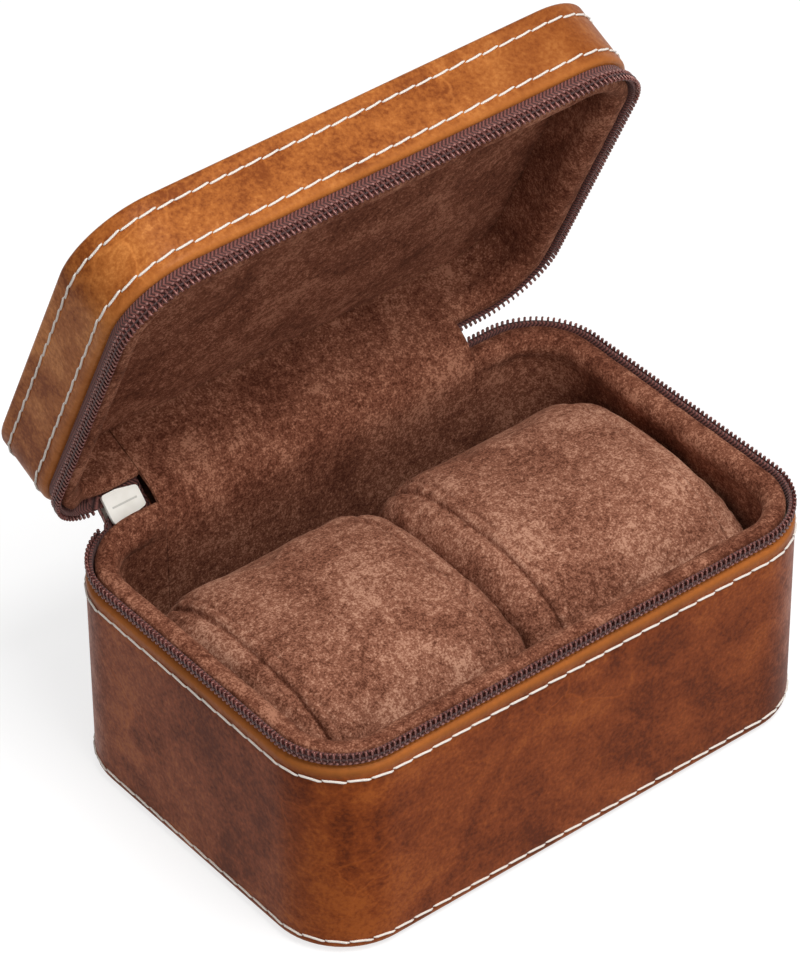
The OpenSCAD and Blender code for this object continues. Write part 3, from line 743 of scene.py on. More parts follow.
def base_leather():
    section = (
        [(-8.0, 2.0), (-8.0, 0.8), (-4.0, 0.8)]
        + arc_points((-1.2, 2.0), 1.2, -90, 0, 5)[:-1]
        + channel(BASE_ROWS[0], 0.12, 0.4)
        + [(0.0, 6.0), (0.0, 12.0), (0.0, 24.0), (0.0, 36.0), (0.0, 41.0)]
        + channel(BASE_ROWS[1])
        + arc_points((-1.15, BASE_H - 1.15), 1.15, 0, 90, 7)[:-1]
        + [(-1.2, BASE_H), (-1.2, 2.0)]
    )
    piece = round_the_case("base_leather", section)
    close_mesh(piece, LEATHER_BASE_SHADED, 60)
    # The rim value: paler at the top rounded edge and at the bottom fold, partly wear and partly painted highlight.
    mark_rim(piece, lambda z: max(0.0, min(1.0, (z - 45.4) / 1.6)) + max(0.0, min(1.0, (2.2 - z) / 1.2)))
    return finish_piece(piece, "base", "leather", "base_wall_leather")


def lid_leather():
    section = (
        [(-1.2, 71.0), (-1.2, LID_EDGE)]
        + arc_points((-1.15, LID_EDGE + 1.15), 1.15, -90, 0, 7)[:-1]
        + channel(LID_ROWS[0], half=0.6)
        + [(0.0, 62.0), (0.0, 65.0)]
        + channel(LID_ROWS[1], half=0.5)[:-1]
        + [(0.0, 71.0)]
    )
    piece = round_the_case("lid_leather", section)
    close_mesh(piece, LEATHER_LID_LIT, 60)
    # The rim value: paler at the lid's rounded edge by the zip, partly wear and partly painted highlight.
    mark_rim(piece, lambda z: max(0.0, min(1.0, (58.6 - z) / 1.6)))
    swing(piece)
    return finish_piece(piece, "lid", "leather", "lid_wall_leather")


# Zip tapes and coils


def leaning_tape(name, edge_z, free_z, tuck_z):
    """A tape that comes out from behind the leather and leans outward to its free edge."""
    side = 1 if free_z > edge_z else -1
    section = [
        (-1.2, tuck_z),
        (-1.2, edge_z),
        (-1.14, edge_z + 0.7 * side),
        (-0.8, free_z - 0.15 * side),
        (-0.95, free_z),
        (-1.25, free_z),
        (-1.4, free_z - 0.15 * side),
        (-1.74, edge_z + 0.7 * side),
        (-1.8, edge_z),
        (-1.8, tuck_z),
    ]
    piece = round_the_case(name, section, ZIP_RIGHT_X, ZIP_LEFT_X)
    close_mesh(piece, TAPE_FINISH, 50)
    lay_uv(piece)
    return piece


def coil_turn():
    """One turn of the coil: a ring of nylon wire drawn out long, upright, its hole along X."""
    bpy.ops.object.select_all(action="DESELECT")
    bpy.ops.mesh.primitive_torus_add(
        major_segments=10, minor_segments=6, major_radius=0.2 * MM, minor_radius=0.2 * MM * 0.98
    )
    turn = bpy.context.object
    turn.name = "coil_turn"
    bpy.ops.object.mode_set(mode="EDIT")
    bpy.ops.mesh.select_all(action="SELECT")
    bpy.ops.transform.resize(value=(1.0, 1.0, 1.3), center_override=(0, 0, 0))
    bpy.ops.object.mode_set(mode="OBJECT")
    for vertex in turn.data.vertices:
        x, y, z = vertex.co
        reach = 0.85 * MM if x > 0 else -0.85 * MM
        slant = 0.16 * MM * (x / (0.4 * MM))
        vertex.co = (z + slant, y, x + reach)
    turn.data.materials.append(COIL)
    for face in turn.data.polygons:
        face.use_smooth = True
    return turn


def coil_places(tip_z, side, phase):
    """Where the turns stand: from the right end of the zip, round the front, to its left end."""
    first = way_round(ZIP_RIGHT_X + 2, CASE_D / 2)
    last = way_round(ZIP_LEFT_X - 0.6, HALF_D + CORNER * 0.95)
    count = int((last - first) / TOOTH_PITCH)
    places = []
    for i in range(count):
        x, y, facing = place_round(first + (i + phase) * TOOTH_PITCH, -0.42)
        centre = (x * MM, y * MM, (tip_z - side * 1.25) * MM)
        lean = Matrix.Rotation(math.radians(-7.0 * side), 4, "X")
        places.append(
            Matrix.Translation(centre) @ Matrix.Rotation(math.radians(-facing), 4, "Z") @ lean
        )
    return places


def coil_stitch():
    """One lap of the thread that sews the coil to its tape."""
    bpy.ops.object.select_all(action="DESELECT")
    bpy.ops.mesh.primitive_uv_sphere_add(segments=6, ring_count=4, radius=0.5 * MM)
    stitch = bpy.context.object
    bpy.ops.object.mode_set(mode="EDIT")
    bpy.ops.mesh.select_all(action="SELECT")
    bpy.ops.transform.resize(value=(1.35, 0.42, 0.42), center_override=(0, 0, 0))
    bpy.ops.object.mode_set(mode="OBJECT")
    stitch.data.materials.append(COIL_THREAD)
    for face in stitch.data.polygons:
        face.use_smooth = True
    return stitch


def zip_side(body, tape_name, edge_z, free_z, tuck_z, tip_z, side, phase, opened):
    tape_piece = leaning_tape(body + "_zip_tape_woven", edge_z, free_z, tuck_z)
    turn, stitch = coil_turn(), coil_stitch()
    places = coil_places(tip_z, side, phase)
    coil = copies(turn, body + "_zip_coil", places)
    dot = Matrix.Diagonal((0.62, 1.3, 1.3, 1))
    rows = [place @ Matrix.Translation((0.625 * MM, 0.3 * MM, -0.1 * side * MM)) for place in places]
    sewing = copies(stitch, body + "_coil_sewing", rows)
    # A row of pale beads along the coil's edge: thread, and painted highlight on the turns.
    rows = [place @ Matrix.Translation((0.625 * MM, 0.2 * MM, -1.3 * side * MM)) @ dot for place in places]
    stitch.data.materials[0] = COIL_EDGE_THREAD_AND_HIGHLIGHT
    edge_sewing_and_highlight = copies(stitch, body + "_coil_edge_sewing", rows)
    drop(turn)
    drop(stitch)
    for piece in (tape_piece, coil, sewing, edge_sewing_and_highlight):
        if opened:
            swing(piece)
    finish_piece(tape_piece, body, "zip_tape", body + "_zip_tape")
    finish_piece(coil, body, "zip_teeth", body + "_zip_teeth")
    finish_piece(sewing, body, "zip_tape")
    finish_piece(edge_sewing_and_highlight, body, "zip_tape")


# Stitches in the leather


def leather_stitch(length, radius=0.25):
    """One stitch along X: a thread that rises out of one hole and goes down into the next."""
    bpy.ops.object.select_all(action="DESELECT")
    bpy.ops.mesh.primitive_cylinder_add(
        vertices=6, radius=radius * MM, depth=length * MM, rotation=(0, math.pi / 2, 0)
    )
    bpy.ops.object.transform_apply(rotation=True)
    stitch = bpy.context.object
    bpy.ops.object.mode_set(mode="EDIT")
    select_edges(lambda e: abs(e.verts[0].co.x - e.verts[1].co.x) > 2 * MM)
    bpy.ops.mesh.subdivide(number_cuts=7)
    bpy.ops.object.mode_set(mode="OBJECT")
    half = length * MM / 2
    layer = stitch.data.uv_layers[0] if stitch.data.uv_layers else stitch.data.uv_layers.new(name="UVMap")
    for face in stitch.data.polygons:
        for loop, v in zip(face.loop_indices, face.vertices):
            co = stitch.data.vertices[v].co
            layer.data[loop].uv = (math.atan2(co.z, co.y) / (2 * math.pi), co.x / MM)
    for vertex in stitch.data.vertices:
        t = vertex.co.x / half
        thin = 1 - 0.4 * abs(t) ** 8
        vertex.co.y = vertex.co.y * thin + MM * (0.07 - 0.2 * abs(t) ** 9)
        vertex.co.z = vertex.co.z * thin + MM * (0.17 * t + 0.1 * (1 - t * t))
    for face in stitch.data.polygons:
        face.use_smooth = True
    stitch.data.materials.append(THREAD)
    return stitch


def stitch_row(name, body, z, count, opened, slant=1.0):
    pitch = WAY / count
    model = leather_stitch(0.99 * pitch)
    places = []
    for i in range(count):
        x, y, facing = place_round((i + 0.5) * pitch, 0.0)
        wobble = random.uniform(-0.07, 0.07)
        places.append(
            Matrix.Translation((x * MM, y * MM, (z + wobble) * MM))
            @ Matrix.Rotation(math.radians(-facing), 4, "Z")
            @ Matrix.Rotation(math.radians(random.uniform(-1.2, 1.2)), 4, "Y")
            @ Matrix.Diagonal((1, 1, slant, 1))
        )
    row = copies(model, name, places)
    drop(model)
    if slant < 0:
        row.data.flip_normals()
    if opened:
        swing(row)
    return finish_piece(row, body, None)


# Linings


def normals_of(piece):
    """The normals at all points, taken before any of them moves."""
    return [vertex.normal.copy() for vertex in piece.data.vertices]


def soften(piece, amount=0.12, low=-99.0):
    """Gives cloth a hand-made unevenness: each point above low moves a little along its normal."""
    for vertex, normal in zip(piece.data.vertices, normals_of(piece)):
        x, y, z = (c / MM for c in vertex.co)
        if z > low:
            swell = math.sin(0.31 * x + 0.17 * z) + math.sin(0.23 * y - 0.29 * z + 1.3) + math.sin(0.71 * (x - y))
            vertex.co += normal * (amount * MM * swell / 3)


def offset_of(x, y):
    """How far a point lies outward from the outer face of the case, in millimetres."""
    dx = abs(x) - HALF_W
    dy = abs(y) - HALF_D
    if dx > 0 and dy > 0:
        return math.hypot(dx, dy) - CORNER
    return (abs(x) - CASE_W / 2) if dx - dy > 0 else (abs(y) - CASE_D / 2)


def step(value, low, high):
    t = max(0.0, min(1.0, (value - low) / (high - low)))
    return t * t * (3 - 2 * t)


def fit_lip(piece, changes):
    """Shapes the padded lip behind: flush with the hinge lining, and clear of the slider.

    changes lists where points of the full section go beside the slider: (o, z) to (o, z).
    """
    for vertex in piece.data.vertices:
        x, y, z = (c / MM for c in vertex.co)
        if y < HALF_D:
            continue
        o = offset_of(x, y)
        new_o, new_z = o, z
        slender = step(x, -57.5, -53.5) if x < 0 else 0.0
        slender *= 1 - step(x, -52.5 + 12, -39.5 + 2) if x > -40 else 1
        for (from_o, from_z), (to_o, to_z) in changes:
            if abs(o - from_o) < 0.02 and abs(z - from_z) < 0.02:
                new_o += (to_o - o) * slender
                new_z += (to_z - z) * slender
        if new_o < LINING_O:
            new_o += (LINING_O - new_o) * (1 - step(abs(x), HINGE_HALF, HINGE_HALF + 7))
        if abs(x) > HALF_W:
            out = Vector((abs(x) - HALF_W, y - HALF_D)).normalized() * (new_o - o)
            vertex.co.x += math.copysign(out.x, x) * MM
            vertex.co.y += out.y * MM
        else:
            vertex.co.y += (new_o - o) * MM
        vertex.co.z = new_z * MM


BASE_LIP = [
    (-2.05, 47.42), (-2.0, 49.0), (-1.95, 50.2), (-2.25, 50.85), (-3.0, 51.15), (-3.9, 51.25), (-4.9, 51.08),
    (-5.7, 50.65), (-6.4, 49.9), (-6.8, 48.9), (-6.9, 47.9), (-6.6, 47.0), (-6.15, 46.3), (-5.85, 45.4),
]
BASE_SLENDER = [
    (-3.1, 47.42), (-3.1, 49.6), (-3.05, 52.1), (-3.1, 52.9), (-3.4, 53.35), (-4.0, 53.3), (-4.8, 52.6),
    (-5.6, 51.5), (-6.3, 50.3), (-6.8, 48.9), (-6.9, 47.9), (-6.6, 47.0), (-6.15, 46.3), (-5.85, 45.4),
]
LID_LIP = [
    (-2.05, 57.28), (-2.0, 55.2), (-1.95, 53.6), (-2.25, 52.95), (-3.0, 52.65), (-3.9, 52.55), (-4.9, 52.75),
    (-5.7, 53.3), (-6.4, 54.2), (-6.8, 55.3), (-6.9, 56.5), (-6.6, 57.6), (-6.15, 58.5), (-5.85, 59.6),
]
LID_SLENDER = [
    (-3.2, 57.28), (-3.0, 56.8), (-2.95, 56.0), (-3.1, 55.2), (-3.5, 54.45), (-4.0, 54.0), (-4.9, 53.8),
    (-5.7, 54.1), (-6.4, 54.9), (-6.8, 55.6), (-6.9, 56.5), (-6.6, 57.6), (-6.15, 58.5), (-5.85, 59.6),
]


def base_lining():
    section = (
        [(WALL_O, 6.0), (WALL_O, 30.0), (WALL_O, 47.42)]
        + BASE_LIP
        + [(LINING_O, z) for z in (43.0, 39.0, 35.0, 30.0, 24.0, 18.0, 12.0, 7.0)]
        + [(-5.6, 6.2), (-5.3, 6.0)]
    )
    piece = round_the_case("base_lining", section, HINGE_HALF, -HINGE_HALF, 2.0)
    close_mesh(piece, SUEDE, 70)
    fit_lip(piece, list(zip(BASE_LIP, BASE_SLENDER)))
    round_off(piece)
    return finish_piece(piece, "base", "suede", "base_wall_lining", "base_lip_foam")


def lid_lining():
    section = (
        [(WALL_O, 66.8), (WALL_O, 62.0), (WALL_O, 57.28)]
        + LID_LIP
        + [(LINING_O, z) for z in (61.5, 63.5, 65.3, 66.4)]
        + [(-5.5, 66.8)]
    )
    piece = round_the_case("lid_lining", section, HINGE_HALF, -HINGE_HALF, 2.0)
    close_mesh(piece, SUEDE, 70)
    fit_lip(piece, list(zip(LID_LIP, LID_SLENDER)))
    round_off(piece)
    swing(piece)
    return finish_piece(piece, "lid", "suede", "lid_wall_lining", "lid_lip_foam")


def round_off(piece):
    """Lets cloth look soft: one subdivision, then a slight unevenness."""
    smooth = piece.modifiers.new("round", "SUBSURF")
    smooth.levels = smooth.render_levels = 1
    bpy.context.view_layer.objects.active = piece
    bpy.ops.object.modifier_apply(modifier=smooth.name)
    soften(piece, 0.12)


def lining_panel(name, z, thickness, relief):
    """A panel with rounded corners that fits between the wall linings; relief is its surface."""
    width, depth, corner = CASE_W + 2 * LINING_O - 0.4, CASE_D + 2 * LINING_O - 0.4, CORNER + LINING_O
    bpy.ops.object.select_all(action="DESELECT")
    bpy.ops.mesh.primitive_grid_add(x_subdivisions=96, y_subdivisions=64, size=2)
    piece = bpy.context.object
    piece.name = piece.data.name = name
    bend_x, bend_y = width / 2 - corner, depth / 2 - corner
    for vertex in piece.data.vertices:
        u, v = math.sin(vertex.co.x * math.pi / 2), vertex.co.y
        x = u * width / 2
        room = depth / 2
        if abs(x) > bend_x:
            room = bend_y + math.sqrt(max(corner**2 - (abs(x) - bend_x) ** 2, 0))
        vertex.co = (x * MM, v * room * MM, (z + relief(u, v)) * MM)
    shell = piece.modifiers.new("cloth", "SOLIDIFY")
    shell.thickness = abs(thickness) * MM
    shell.offset = -1 if thickness > 0 else 1
    bpy.ops.object.modifier_apply(modifier=shell.name)
    bpy.ops.object.mode_set(mode="EDIT")
    return close_mesh(piece, SUEDE, 60)


def ceiling_relief(u, v):
    """The crown and the broad folds of the loose ceiling lining, and small drawn puckers."""
    crown = (1 - u**4) * (1 - v**4)
    fold = 0.35 * math.sin(math.radians(210 * u + 70 * v))
    fold += 0.25 * math.cos(math.radians(160 * v - 120 * u))
    ripple = 0.16 * math.sin(7 * u + 4 * v + 2 * math.sin(3 * v)) * crown
    return -(0.9 + crown * (1.62 + fold) + ripple + 0.1)


def hinge_path(mid_y, bend_z, base_end_z, lid_end_z, steps=14):
    """The middle line of a hinge strip with the lid open, from the base up into the lid: (y, z)."""
    half = math.radians(OPEN_ANGLE / 2)
    slack = (AXIS_Y - mid_y) * math.tan(half)
    tangent = AXIS_Z + slack - bend_z
    radius = tangent / math.tan(half)
    points = [(mid_y, base_end_z + (bend_z - base_end_z) * k / 6) for k in range(7)]
    middle = (mid_y + radius, bend_z)
    for k in range(1, steps + 1):
        a = math.radians(OPEN_ANGLE * k / steps)
        points.append((middle[0] - radius * math.cos(a), middle[1] + radius * math.sin(a)))
    leg = lid_end_z - AXIS_Z + slack - tangent
    a = math.radians(OPEN_ANGLE)
    y, z = points[-1]
    return points + [(y + leg * k / 6 * math.sin(a), z + leg * k / 6 * math.cos(a)) for k in range(1, 7)]


def hinge_strip(name, path, thickness, material, half):
    """A strip of leather or suede across the hinge, given its wall on both sides of its path."""
    piece = open_new(name)
    draw_line([(-half * MM, y * MM, z * MM) for y, z in path], closed=False)
    go(2 * half, 0, 30)
    bpy.ops.mesh.select_all(action="SELECT")
    bpy.ops.mesh.normals_make_consistent(inside=False)
    bpy.ops.object.mode_set(mode="OBJECT")
    shell = piece.modifiers.new("wall", "SOLIDIFY")
    shell.thickness = thickness * MM
    shell.offset = 0
    bpy.ops.object.modifier_apply(modifier=shell.name)
    bpy.ops.object.mode_set(mode="EDIT")
    close_mesh(piece, material, 60)
    return piece


def hinge():
    path = hinge_path(42.225, BASE_H, 43.0, 61.7)
    strip = hinge_strip("hinge_leather_strip", path, 0.65, LEATHER_LID_LIT, HINGE_HALF - 0.05)
    mark_rim(strip, lambda z: 0.0)
    # The faces towards the inside of the case get the near-black painted shade.
    strip.data.materials.append(FLESH_SIDE_IN_PAINTED_SHADE)
    for face in strip.data.polygons:
        face.material_index = 1 if face.normal.y < -0.2 else 0
    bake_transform(strip)
    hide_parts("hinge_leather")
    path = hinge_path(38.45, 46.0, 6.0, 66.7)
    cloth = hinge_strip("hinge_lining_cloth", path, 1.0, SUEDE, HINGE_HALF - 0.03)
    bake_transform(cloth)
    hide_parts("hinge_lining")


# The joined end of the zip

MOUTH_X = -3.9
COIL_Y = CASE_D / 2 - 0.9


def on_zip_end():
    centre = Matrix.Translation((0, AXIS_Y * MM, AXIS_Z * MM))
    tilt = centre @ Matrix.Rotation(math.radians(-SLIDER_ANGLE), 4, "X") @ centre.inverted()
    return tilt @ Matrix.Translation((SLIDER_X * MM, COIL_Y * MM, ZIP_Z * MM))


def joined_zip():
    """The last of the zip, behind the slider, where the two tapes and coils are joined."""
    tape_piece = open_new("joined_tape")
    outline = [(MOUTH_X, -3.4), (5.6, -3.4), (5.6, 4.2), (MOUTH_X, 4.2), (MOUTH_X, 0.95), (-0.4, 0.95), (-0.3, 0.8)]
    outline += [(-0.3, -0.8), (-0.4, -0.95), (MOUTH_X, -0.95)]
    draw_line([(x * MM, 0.1 * MM, z * MM) for x, z in outline])
    bpy.ops.mesh.edge_face_add()
    bpy.ops.mesh.extrude_region_move(TRANSFORM_OT_translate={"value": (0, -0.5 * MM, 0)})
    close_mesh(tape_piece, TAPE_FINISH)
    layer = tape_piece.data.uv_layers[0]
    for loop in tape_piece.data.loops:
        co = tape_piece.data.vertices[loop.vertex_index].co
        layer.data[loop.index].uv = (co.x / MM, co.z / MM)
    tape_piece.data.transform(on_zip_end())
    finish_piece(tape_piece, "zip_end", "zip_tape", "zip_end_tape")
    turn = coil_turn()
    places = []
    for i in range(7):
        flip = Matrix.Rotation(math.pi * (i % 2), 4, "Y")
        place = Matrix.Translation(((0.3 + i * TOOTH_PITCH / 2) * MM, 0.5 * MM, 0))
        places.append(on_zip_end() @ place @ flip @ Matrix.Translation((0, 0, 0.85 * MM)))
    finish_piece(copies(turn, "joined_coil", places), "zip_end", "zip_teeth", "zip_end_teeth")
    drop(turn)


def tape_end(body, sign):
    """The short free end of a tape and its coil, from its last hold into the slider's mouth."""
    held = Matrix.Translation((-52.0 * MM, 43.05 * MM, 0)) @ Matrix.Rotation(math.radians(16), 4, "Z")
    if body == "lid":
        centre = Matrix.Translation((0, AXIS_Y * MM, AXIS_Z * MM))
        held = centre @ Matrix.Rotation(math.radians(-OPEN_ANGLE), 4, "X") @ centre.inverted() @ held
    mouth = on_zip_end() @ Matrix.Translation((MOUTH_X * MM, 0, 0))
    wide = 3.4 if sign < 0 else 4.2
    far, near = (48.4, 51.2) if sign < 0 else (56.2, 52.4)
    sections = [
        [held @ Vector((0, y * MM, z * MM)) for y, z in ((-1.3, far), (-0.9, near), (-1.4, near), (-1.8, far))],
        [
            mouth @ Vector((0, y * MM, z * sign * MM))
            for y, z in ((0.1, wide), (0.1, 0.95), (-0.4, 0.95), (-0.4, wide))
        ],
    ]
    piece = open_new(body + "_tape_end")
    draw_line(sections[0])
    bpy.ops.mesh.edge_face_add()
    bpy.ops.mesh.extrude_region_move(TRANSFORM_OT_translate={"value": (MM, 0, 0)})
    bpy.ops.object.mode_set(mode="OBJECT")
    for vertex in piece.data.vertices:
        for a, b in zip(*sections):
            if (vertex.co - a - Vector((MM, 0, 0))).length < 0.01 * MM:
                vertex.co = b
                break
    bpy.ops.object.mode_set(mode="EDIT")
    close_mesh(piece, TAPE_FINISH)
    lay_uv(piece)
    turn = coil_turn()
    middle = on_zip_end() @ Matrix.Translation((-4.7 * MM, 0.45 * MM, sign * 0.9 * MM))
    first = held @ Matrix.Translation((0.3 * MM, -0.55 * MM, (ZIP_Z + sign * 1.125) * MM))
    coil = copies(turn, body + "_coil_end", [first, middle])
    drop(turn)
    for part, slot_name in ((piece, "zip_tape"), (coil, "zip_teeth")):
        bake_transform(part)


# Cushions

CUSHION_X0 = 0.35
CUSHION_X1 = 56.7
CUSHION_Y = -4.2
CUSHION_Z = 28.3
CUSHION_D = 64.5
CUSHION_H = 44.0
SEAM_IN = 5.8
PINCH = 1.2
CAP_IN = 8.5


def cushion_inset(x):
    """How far the cushion is drawn in at x, measured along its length from its middle seam end."""
    length = CUSHION_X1 - CUSHION_X0
    for edge in (x, length - x):
        if edge < SEAM_IN:
            share = 1 - edge / SEAM_IN
            steps = [(0, PINCH), (0.3, PINCH + 0.3), (0.65, 0.33 * CAP_IN), (0.9, 0.61 * CAP_IN), (1, CAP_IN)]
            for (s0, i0), (s1, i1) in zip(steps, steps[1:]):
                if share <= s1:
                    return i0 + (i1 - i0) * (share - s0) / (s1 - s0)
    t = (x - SEAM_IN) / (length - 2 * SEAM_IN)
    return PINCH * abs(2 * t - 1) ** 5


def ring_point(v, w, inset):
    """A point of a square, out to its edge, drawn onto the cushion's rounded section."""
    m = max(abs(v), abs(w))
    if m < 1e-9:
        return CUSHION_Y, CUSHION_Z
    a = math.atan2(w, v)
    c, s = math.cos(a), math.sin(a)
    power = 2.1 if c < 0 and s > 0 else 3
    ry, rz = CUSHION_D / 2 - inset, CUSHION_H / 2 - inset
    return (
        CUSHION_Y + m * ry * math.copysign(abs(c) ** (2 / power), c),
        CUSHION_Z + m * rz * math.copysign(abs(s) ** (2 / power), s),
    )


def cushion_form(name, stations, cells, shrink=0.0):
    """A cushion from a square grid, drawn along X through the stations and shaped to its section."""
    bpy.ops.object.select_all(action="DESELECT")
    bpy.ops.mesh.primitive_grid_add(x_subdivisions=cells, y_subdivisions=cells, size=2)
    piece = bpy.context.object
    piece.name = piece.data.name = name
    bpy.ops.object.mode_set(mode="EDIT")
    bpy.ops.mesh.select_all(action="SELECT")
    bpy.ops.mesh.extrude_region_move(TRANSFORM_OT_translate={"value": (0, 0, len(stations) - 1)})
    select_edges(lambda e: abs(e.verts[0].co.z - e.verts[1].co.z) > 0.5)
    bpy.ops.mesh.subdivide(number_cuts=len(stations) - 2)
    bpy.ops.object.mode_set(mode="OBJECT")
    places = []
    for vertex in piece.data.vertices:
        v, w, step = vertex.co
        x = stations[round(step)]
        y, z = ring_point(v, w, cushion_inset(x) + shrink)
        places.append((x, math.atan2(w, v), max(abs(v), abs(w))))
        vertex.co = ((CUSHION_X0 + min(max(x, shrink), CUSHION_LEN - shrink)) * MM, y * MM, z * MM)
    bpy.ops.object.mode_set(mode="EDIT")
    bpy.ops.mesh.select_all(action="SELECT")
    bpy.ops.mesh.normals_make_consistent(inside=False)
    bpy.ops.object.mode_set(mode="OBJECT")
    return piece, places


def fill_with_air(piece, places, seed):
    """Blows the cushion up as slack cloth held at its two seams, so that it draws in beside them."""
    rng = random.Random(seed)
    pins = piece.vertex_groups.new(name="seams")
    for (x, _, m), vertex in sorted(zip(places, piece.data.vertices), key=lambda pair: pair[0]):
        vertex.co = vertex.co * BENCH_SCALE + Vector([rng.uniform(-1, 1) * 0.0012 for _ in range(3)])
        if min(abs(x - SEAM_IN), abs(x - CUSHION_LEN + SEAM_IN)) < 0.1 and m > 0.99:
            pins.add([vertex.index], 1.0, "REPLACE")
    cloth = piece.modifiers.new("cover", "CLOTH")
    settings = cloth.settings
    settings.quality = 6
    settings.mass = 0.3
    settings.tension_stiffness = settings.compression_stiffness = 18
    settings.shear_stiffness = 6
    settings.bending_stiffness = 0.6
    settings.use_pressure = True
    settings.uniform_pressure_force = 4
    settings.shrink_min = -0.045
    settings.vertex_group_mass = "seams"
    settings.effector_weights.gravity = 0
    cloth.collision_settings.use_collision = False
    cloth.point_cache.frame_start, cloth.point_cache.frame_end = 1, 20
    scene = bpy.context.scene
    for step in range(1, 21):
        scene.frame_set(step)
    bpy.context.view_layer.objects.active = piece
    bpy.ops.object.modifier_apply(modifier=cloth.name)
    scene.frame_set(1)
    smooth = piece.modifiers.new("round", "SUBSURF")
    smooth.levels = smooth.render_levels = 1
    bpy.ops.object.modifier_apply(modifier=smooth.name)
    for vertex in piece.data.vertices:
        vertex.co = vertex.co / BENCH_SCALE


def spread(cuts, fine):
    """Stations along the cushion: close together at its ends and seams."""
    near = [0, 0.3, 0.6, 1.2, 2.0, 3.0, 4.0, 4.7] if fine else [0, 0.6, 2.0, 4.0]
    seam = [5.1, 5.4, 5.6, 5.8, 6.0, 6.2, 6.5, 7.0, 7.5, 7.9, 8.2, 8.4, 8.6, 8.9, 9.4] if fine else [5.8, 8.4]
    first = near + seam
    start, end = first[-1], CUSHION_LEN - first[-1]
    middle = [start + (end - start) * k / cuts for k in range(1, cuts)]
    return first + middle + [CUSHION_LEN - x for x in reversed(first)]


def sewn(x, angle):
    """How deep the seams and their puckers lie at a point of the cushion, in millimetres."""
    depth = 0.0
    for d in (x - SEAM_IN, CUSHION_LEN - SEAM_IN - x):
        side = 31 * angle + 3 * math.sin(5 * angle) + (0 if d == x - SEAM_IN else 2)
        depth += 0.95 * math.exp(-((d / 0.5) ** 2))
        depth += 0.4 * math.exp(-(((d - 2.6) / 0.38) ** 2))
        depth += 0.16 * (1 + math.sin(side)) * math.exp(-(((d - 1.2) / 1.6) ** 2))
        depth += 0.12 * (1 + math.sin(1.3 * side)) * math.exp(-(((d + 1.5) / 1.3) ** 2))
    return depth


def cushion(side, name):
    """One cushion: its blown-up form, then a finer cover laid on it with the seams sewn in."""
    cover, places = cushion_form(name + "_cover", spread(30, True), 44)
    cover.data.update()
    form, form_places = cushion_form("form", spread(14, False), 20, 0.7)
    fill_with_air(form, form_places, 11 if side > 0 else 23)
    before = [vertex.co.copy() for vertex in cover.data.vertices]
    normals = normals_of(cover)
    wrap = cover.modifiers.new("lay on", "SHRINKWRAP")
    wrap.target = form
    bpy.context.view_layer.objects.active = cover
    bpy.ops.object.modifier_apply(modifier=wrap.name)
    for vertex, co, normal in zip(cover.data.vertices, before, normals):
        move = (vertex.co - co).dot(normal) / MM
        vertex.co = co + normal * (max(-0.8, min(0.3, move)) * MM)
    drop(form)
    cover.data.update()
    for vertex, (x, angle, m), normal in zip(cover.data.vertices, places, normals_of(cover)):
        if m > 0.99:
            vertex.co -= normal * (sewn(x, angle) * MM)
        if side < 0:
            vertex.co.x = -vertex.co.x
    bpy.ops.object.select_all(action="DESELECT")
    cover.select_set(True)
    bpy.context.view_layer.objects.active = cover
    bpy.ops.object.mode_set(mode="EDIT")
    close_mesh(cover, CUSHION_SUEDE_LIT, 180)
    body = name
    parts = [body + part for part in ("_foam", "_sleeve", "_outer_cap", "_inner_cap")]
    finish_piece(cover, body, "suede", *parts)


CUSHION_LEN = CUSHION_X1 - CUSHION_X0
BENCH_SCALE = 10.0


base_leather()
lid_leather()
zip_side("base", "base_zip_tape", BASE_H, 51.2, BASE_H - 5.2, ZIP_Z + 0.125, 1, 0.25, False)
zip_side("lid", "lid_zip_tape", LID_EDGE, 52.4, LID_EDGE + 5.2, ZIP_Z - 0.125, -1, 1.006, True)
base_lining()
lid_lining()
ceiling = swing(lining_panel("ceiling_lining", 66.8, 1.0, ceiling_relief))
finish_piece(ceiling, "lid", "suede", "lid_top_lining")
floor_cloth = lining_panel("floor_lining", 6.0, 1.3, lambda u, v: 0.04 * math.sin(9 * u + 5 * v) - 0.04)
finish_piece(floor_cloth, "base", "suede", "base_floor_lining")
hinge()
joined_zip()
tape_end("base", -1)
tape_end("lid", 1)
cushion(-1, "cushion_left")
cushion(1, "cushion_right")
stitch_row("base_stitches_low", "base", BASE_ROWS[0], 84, False)
stitch_row("base_stitches_high", "base", BASE_ROWS[1], 84, False)
stitch_row("lid_stitches_low", "lid", LID_ROWS[0], 93, True, -1.0)
stitch_row("lid_stitches_high", "lid", LID_ROWS[1], 97, True, -1.0)


# Floor and light


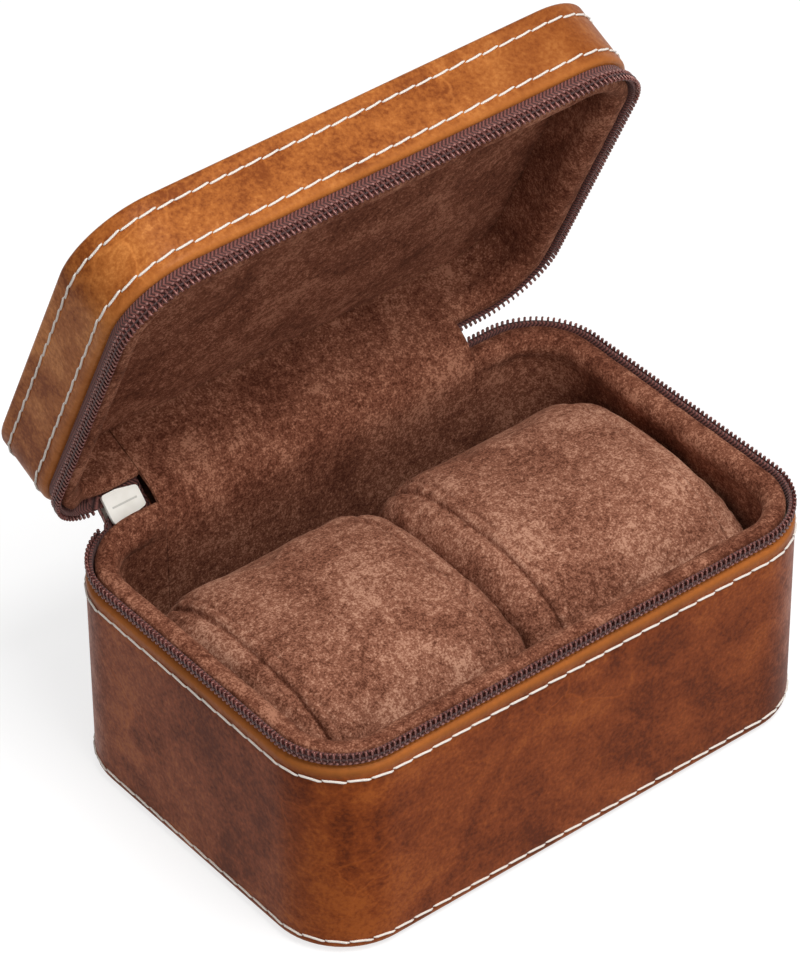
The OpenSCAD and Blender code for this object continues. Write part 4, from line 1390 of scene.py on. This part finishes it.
def background_rays(tree):
    """1 for the rays that show the background: seen straight, in a gloss, or through glass."""
    rays = add(tree, "LightPath").outputs
    shown = math_node(tree, "MAXIMUM", rays["Is Camera Ray"], rays["Is Glossy Ray"])
    return math_node(tree, "MAXIMUM", shown, rays["Is Transmission Ray"])


def stage_floor():
    bpy.ops.object.select_all(action="DESELECT")
    bpy.ops.mesh.primitive_plane_add(size=6)
    floor = bpy.context.object
    floor.name = "floor"
    material = bpy.data.materials.new("white floor")
    material.use_nodes = True
    tree = material.node_tree
    shader = tree.nodes["Principled BSDF"]
    shader.inputs["Base Color"].default_value = colour(0.38, 0.38, 0.38)
    shader.inputs["Roughness"].default_value = 0.9
    shader.inputs["Specular IOR Level"].default_value = 0.1
    strength = math_node(tree, "MULTIPLY", background_rays(tree), 0.74)
    glow = add(tree, "Emission", Color=colour(1, 1, 1), Strength=strength)
    both = add(tree, "AddShader", in_0=shader.outputs[0], in_1=glow.outputs[0])
    tree.links.new(both.outputs[0], tree.nodes["Material Output"].inputs["Surface"])
    floor.data.materials.append(material)


def softbox(name, place, target, size, power):
    light = bpy.data.lights.new(name, "AREA")
    light.shape = "RECTANGLE"
    light.size, light.size_y = size
    light.energy = power
    lamp = bpy.data.objects.new(name, light)
    bpy.context.scene.collection.objects.link(lamp)
    lamp.location = place
    lamp.rotation_mode = "QUATERNION"
    lamp.rotation_quaternion = (Vector(target) - Vector(place)).to_track_quat("-Z", "Y")


stage_floor()
softbox("key", (0.05, -0.36, 1.02), (0, 0, 0.06), (0.55, 0.5), 8.4)
softbox("fill", (-0.95, -0.35, 0.5), (0, 0, 0.06), (0.4, 0.5), 1.3)
softbox("front", (0.1, -1.1, 0.28), (0, 0, 0.1), (0.5, 0.4), 2.1)


def studio_world():
    """Soft even light all round, and plain white where the camera sees past the floor."""
    world = bpy.data.worlds.new("studio")
    world.use_nodes = True
    tree = world.node_tree
    ground = tree.nodes["Background"]
    ground.inputs[0].default_value = colour(1, 1, 1)
    tree.links.new(ramp(tree, background_rays(tree), 0.0, 1.0, 0.26, 1.1), ground.inputs[1])
    bpy.context.scene.world = world


studio_world()
bpy.context.scene.view_settings.view_transform = "Standard"
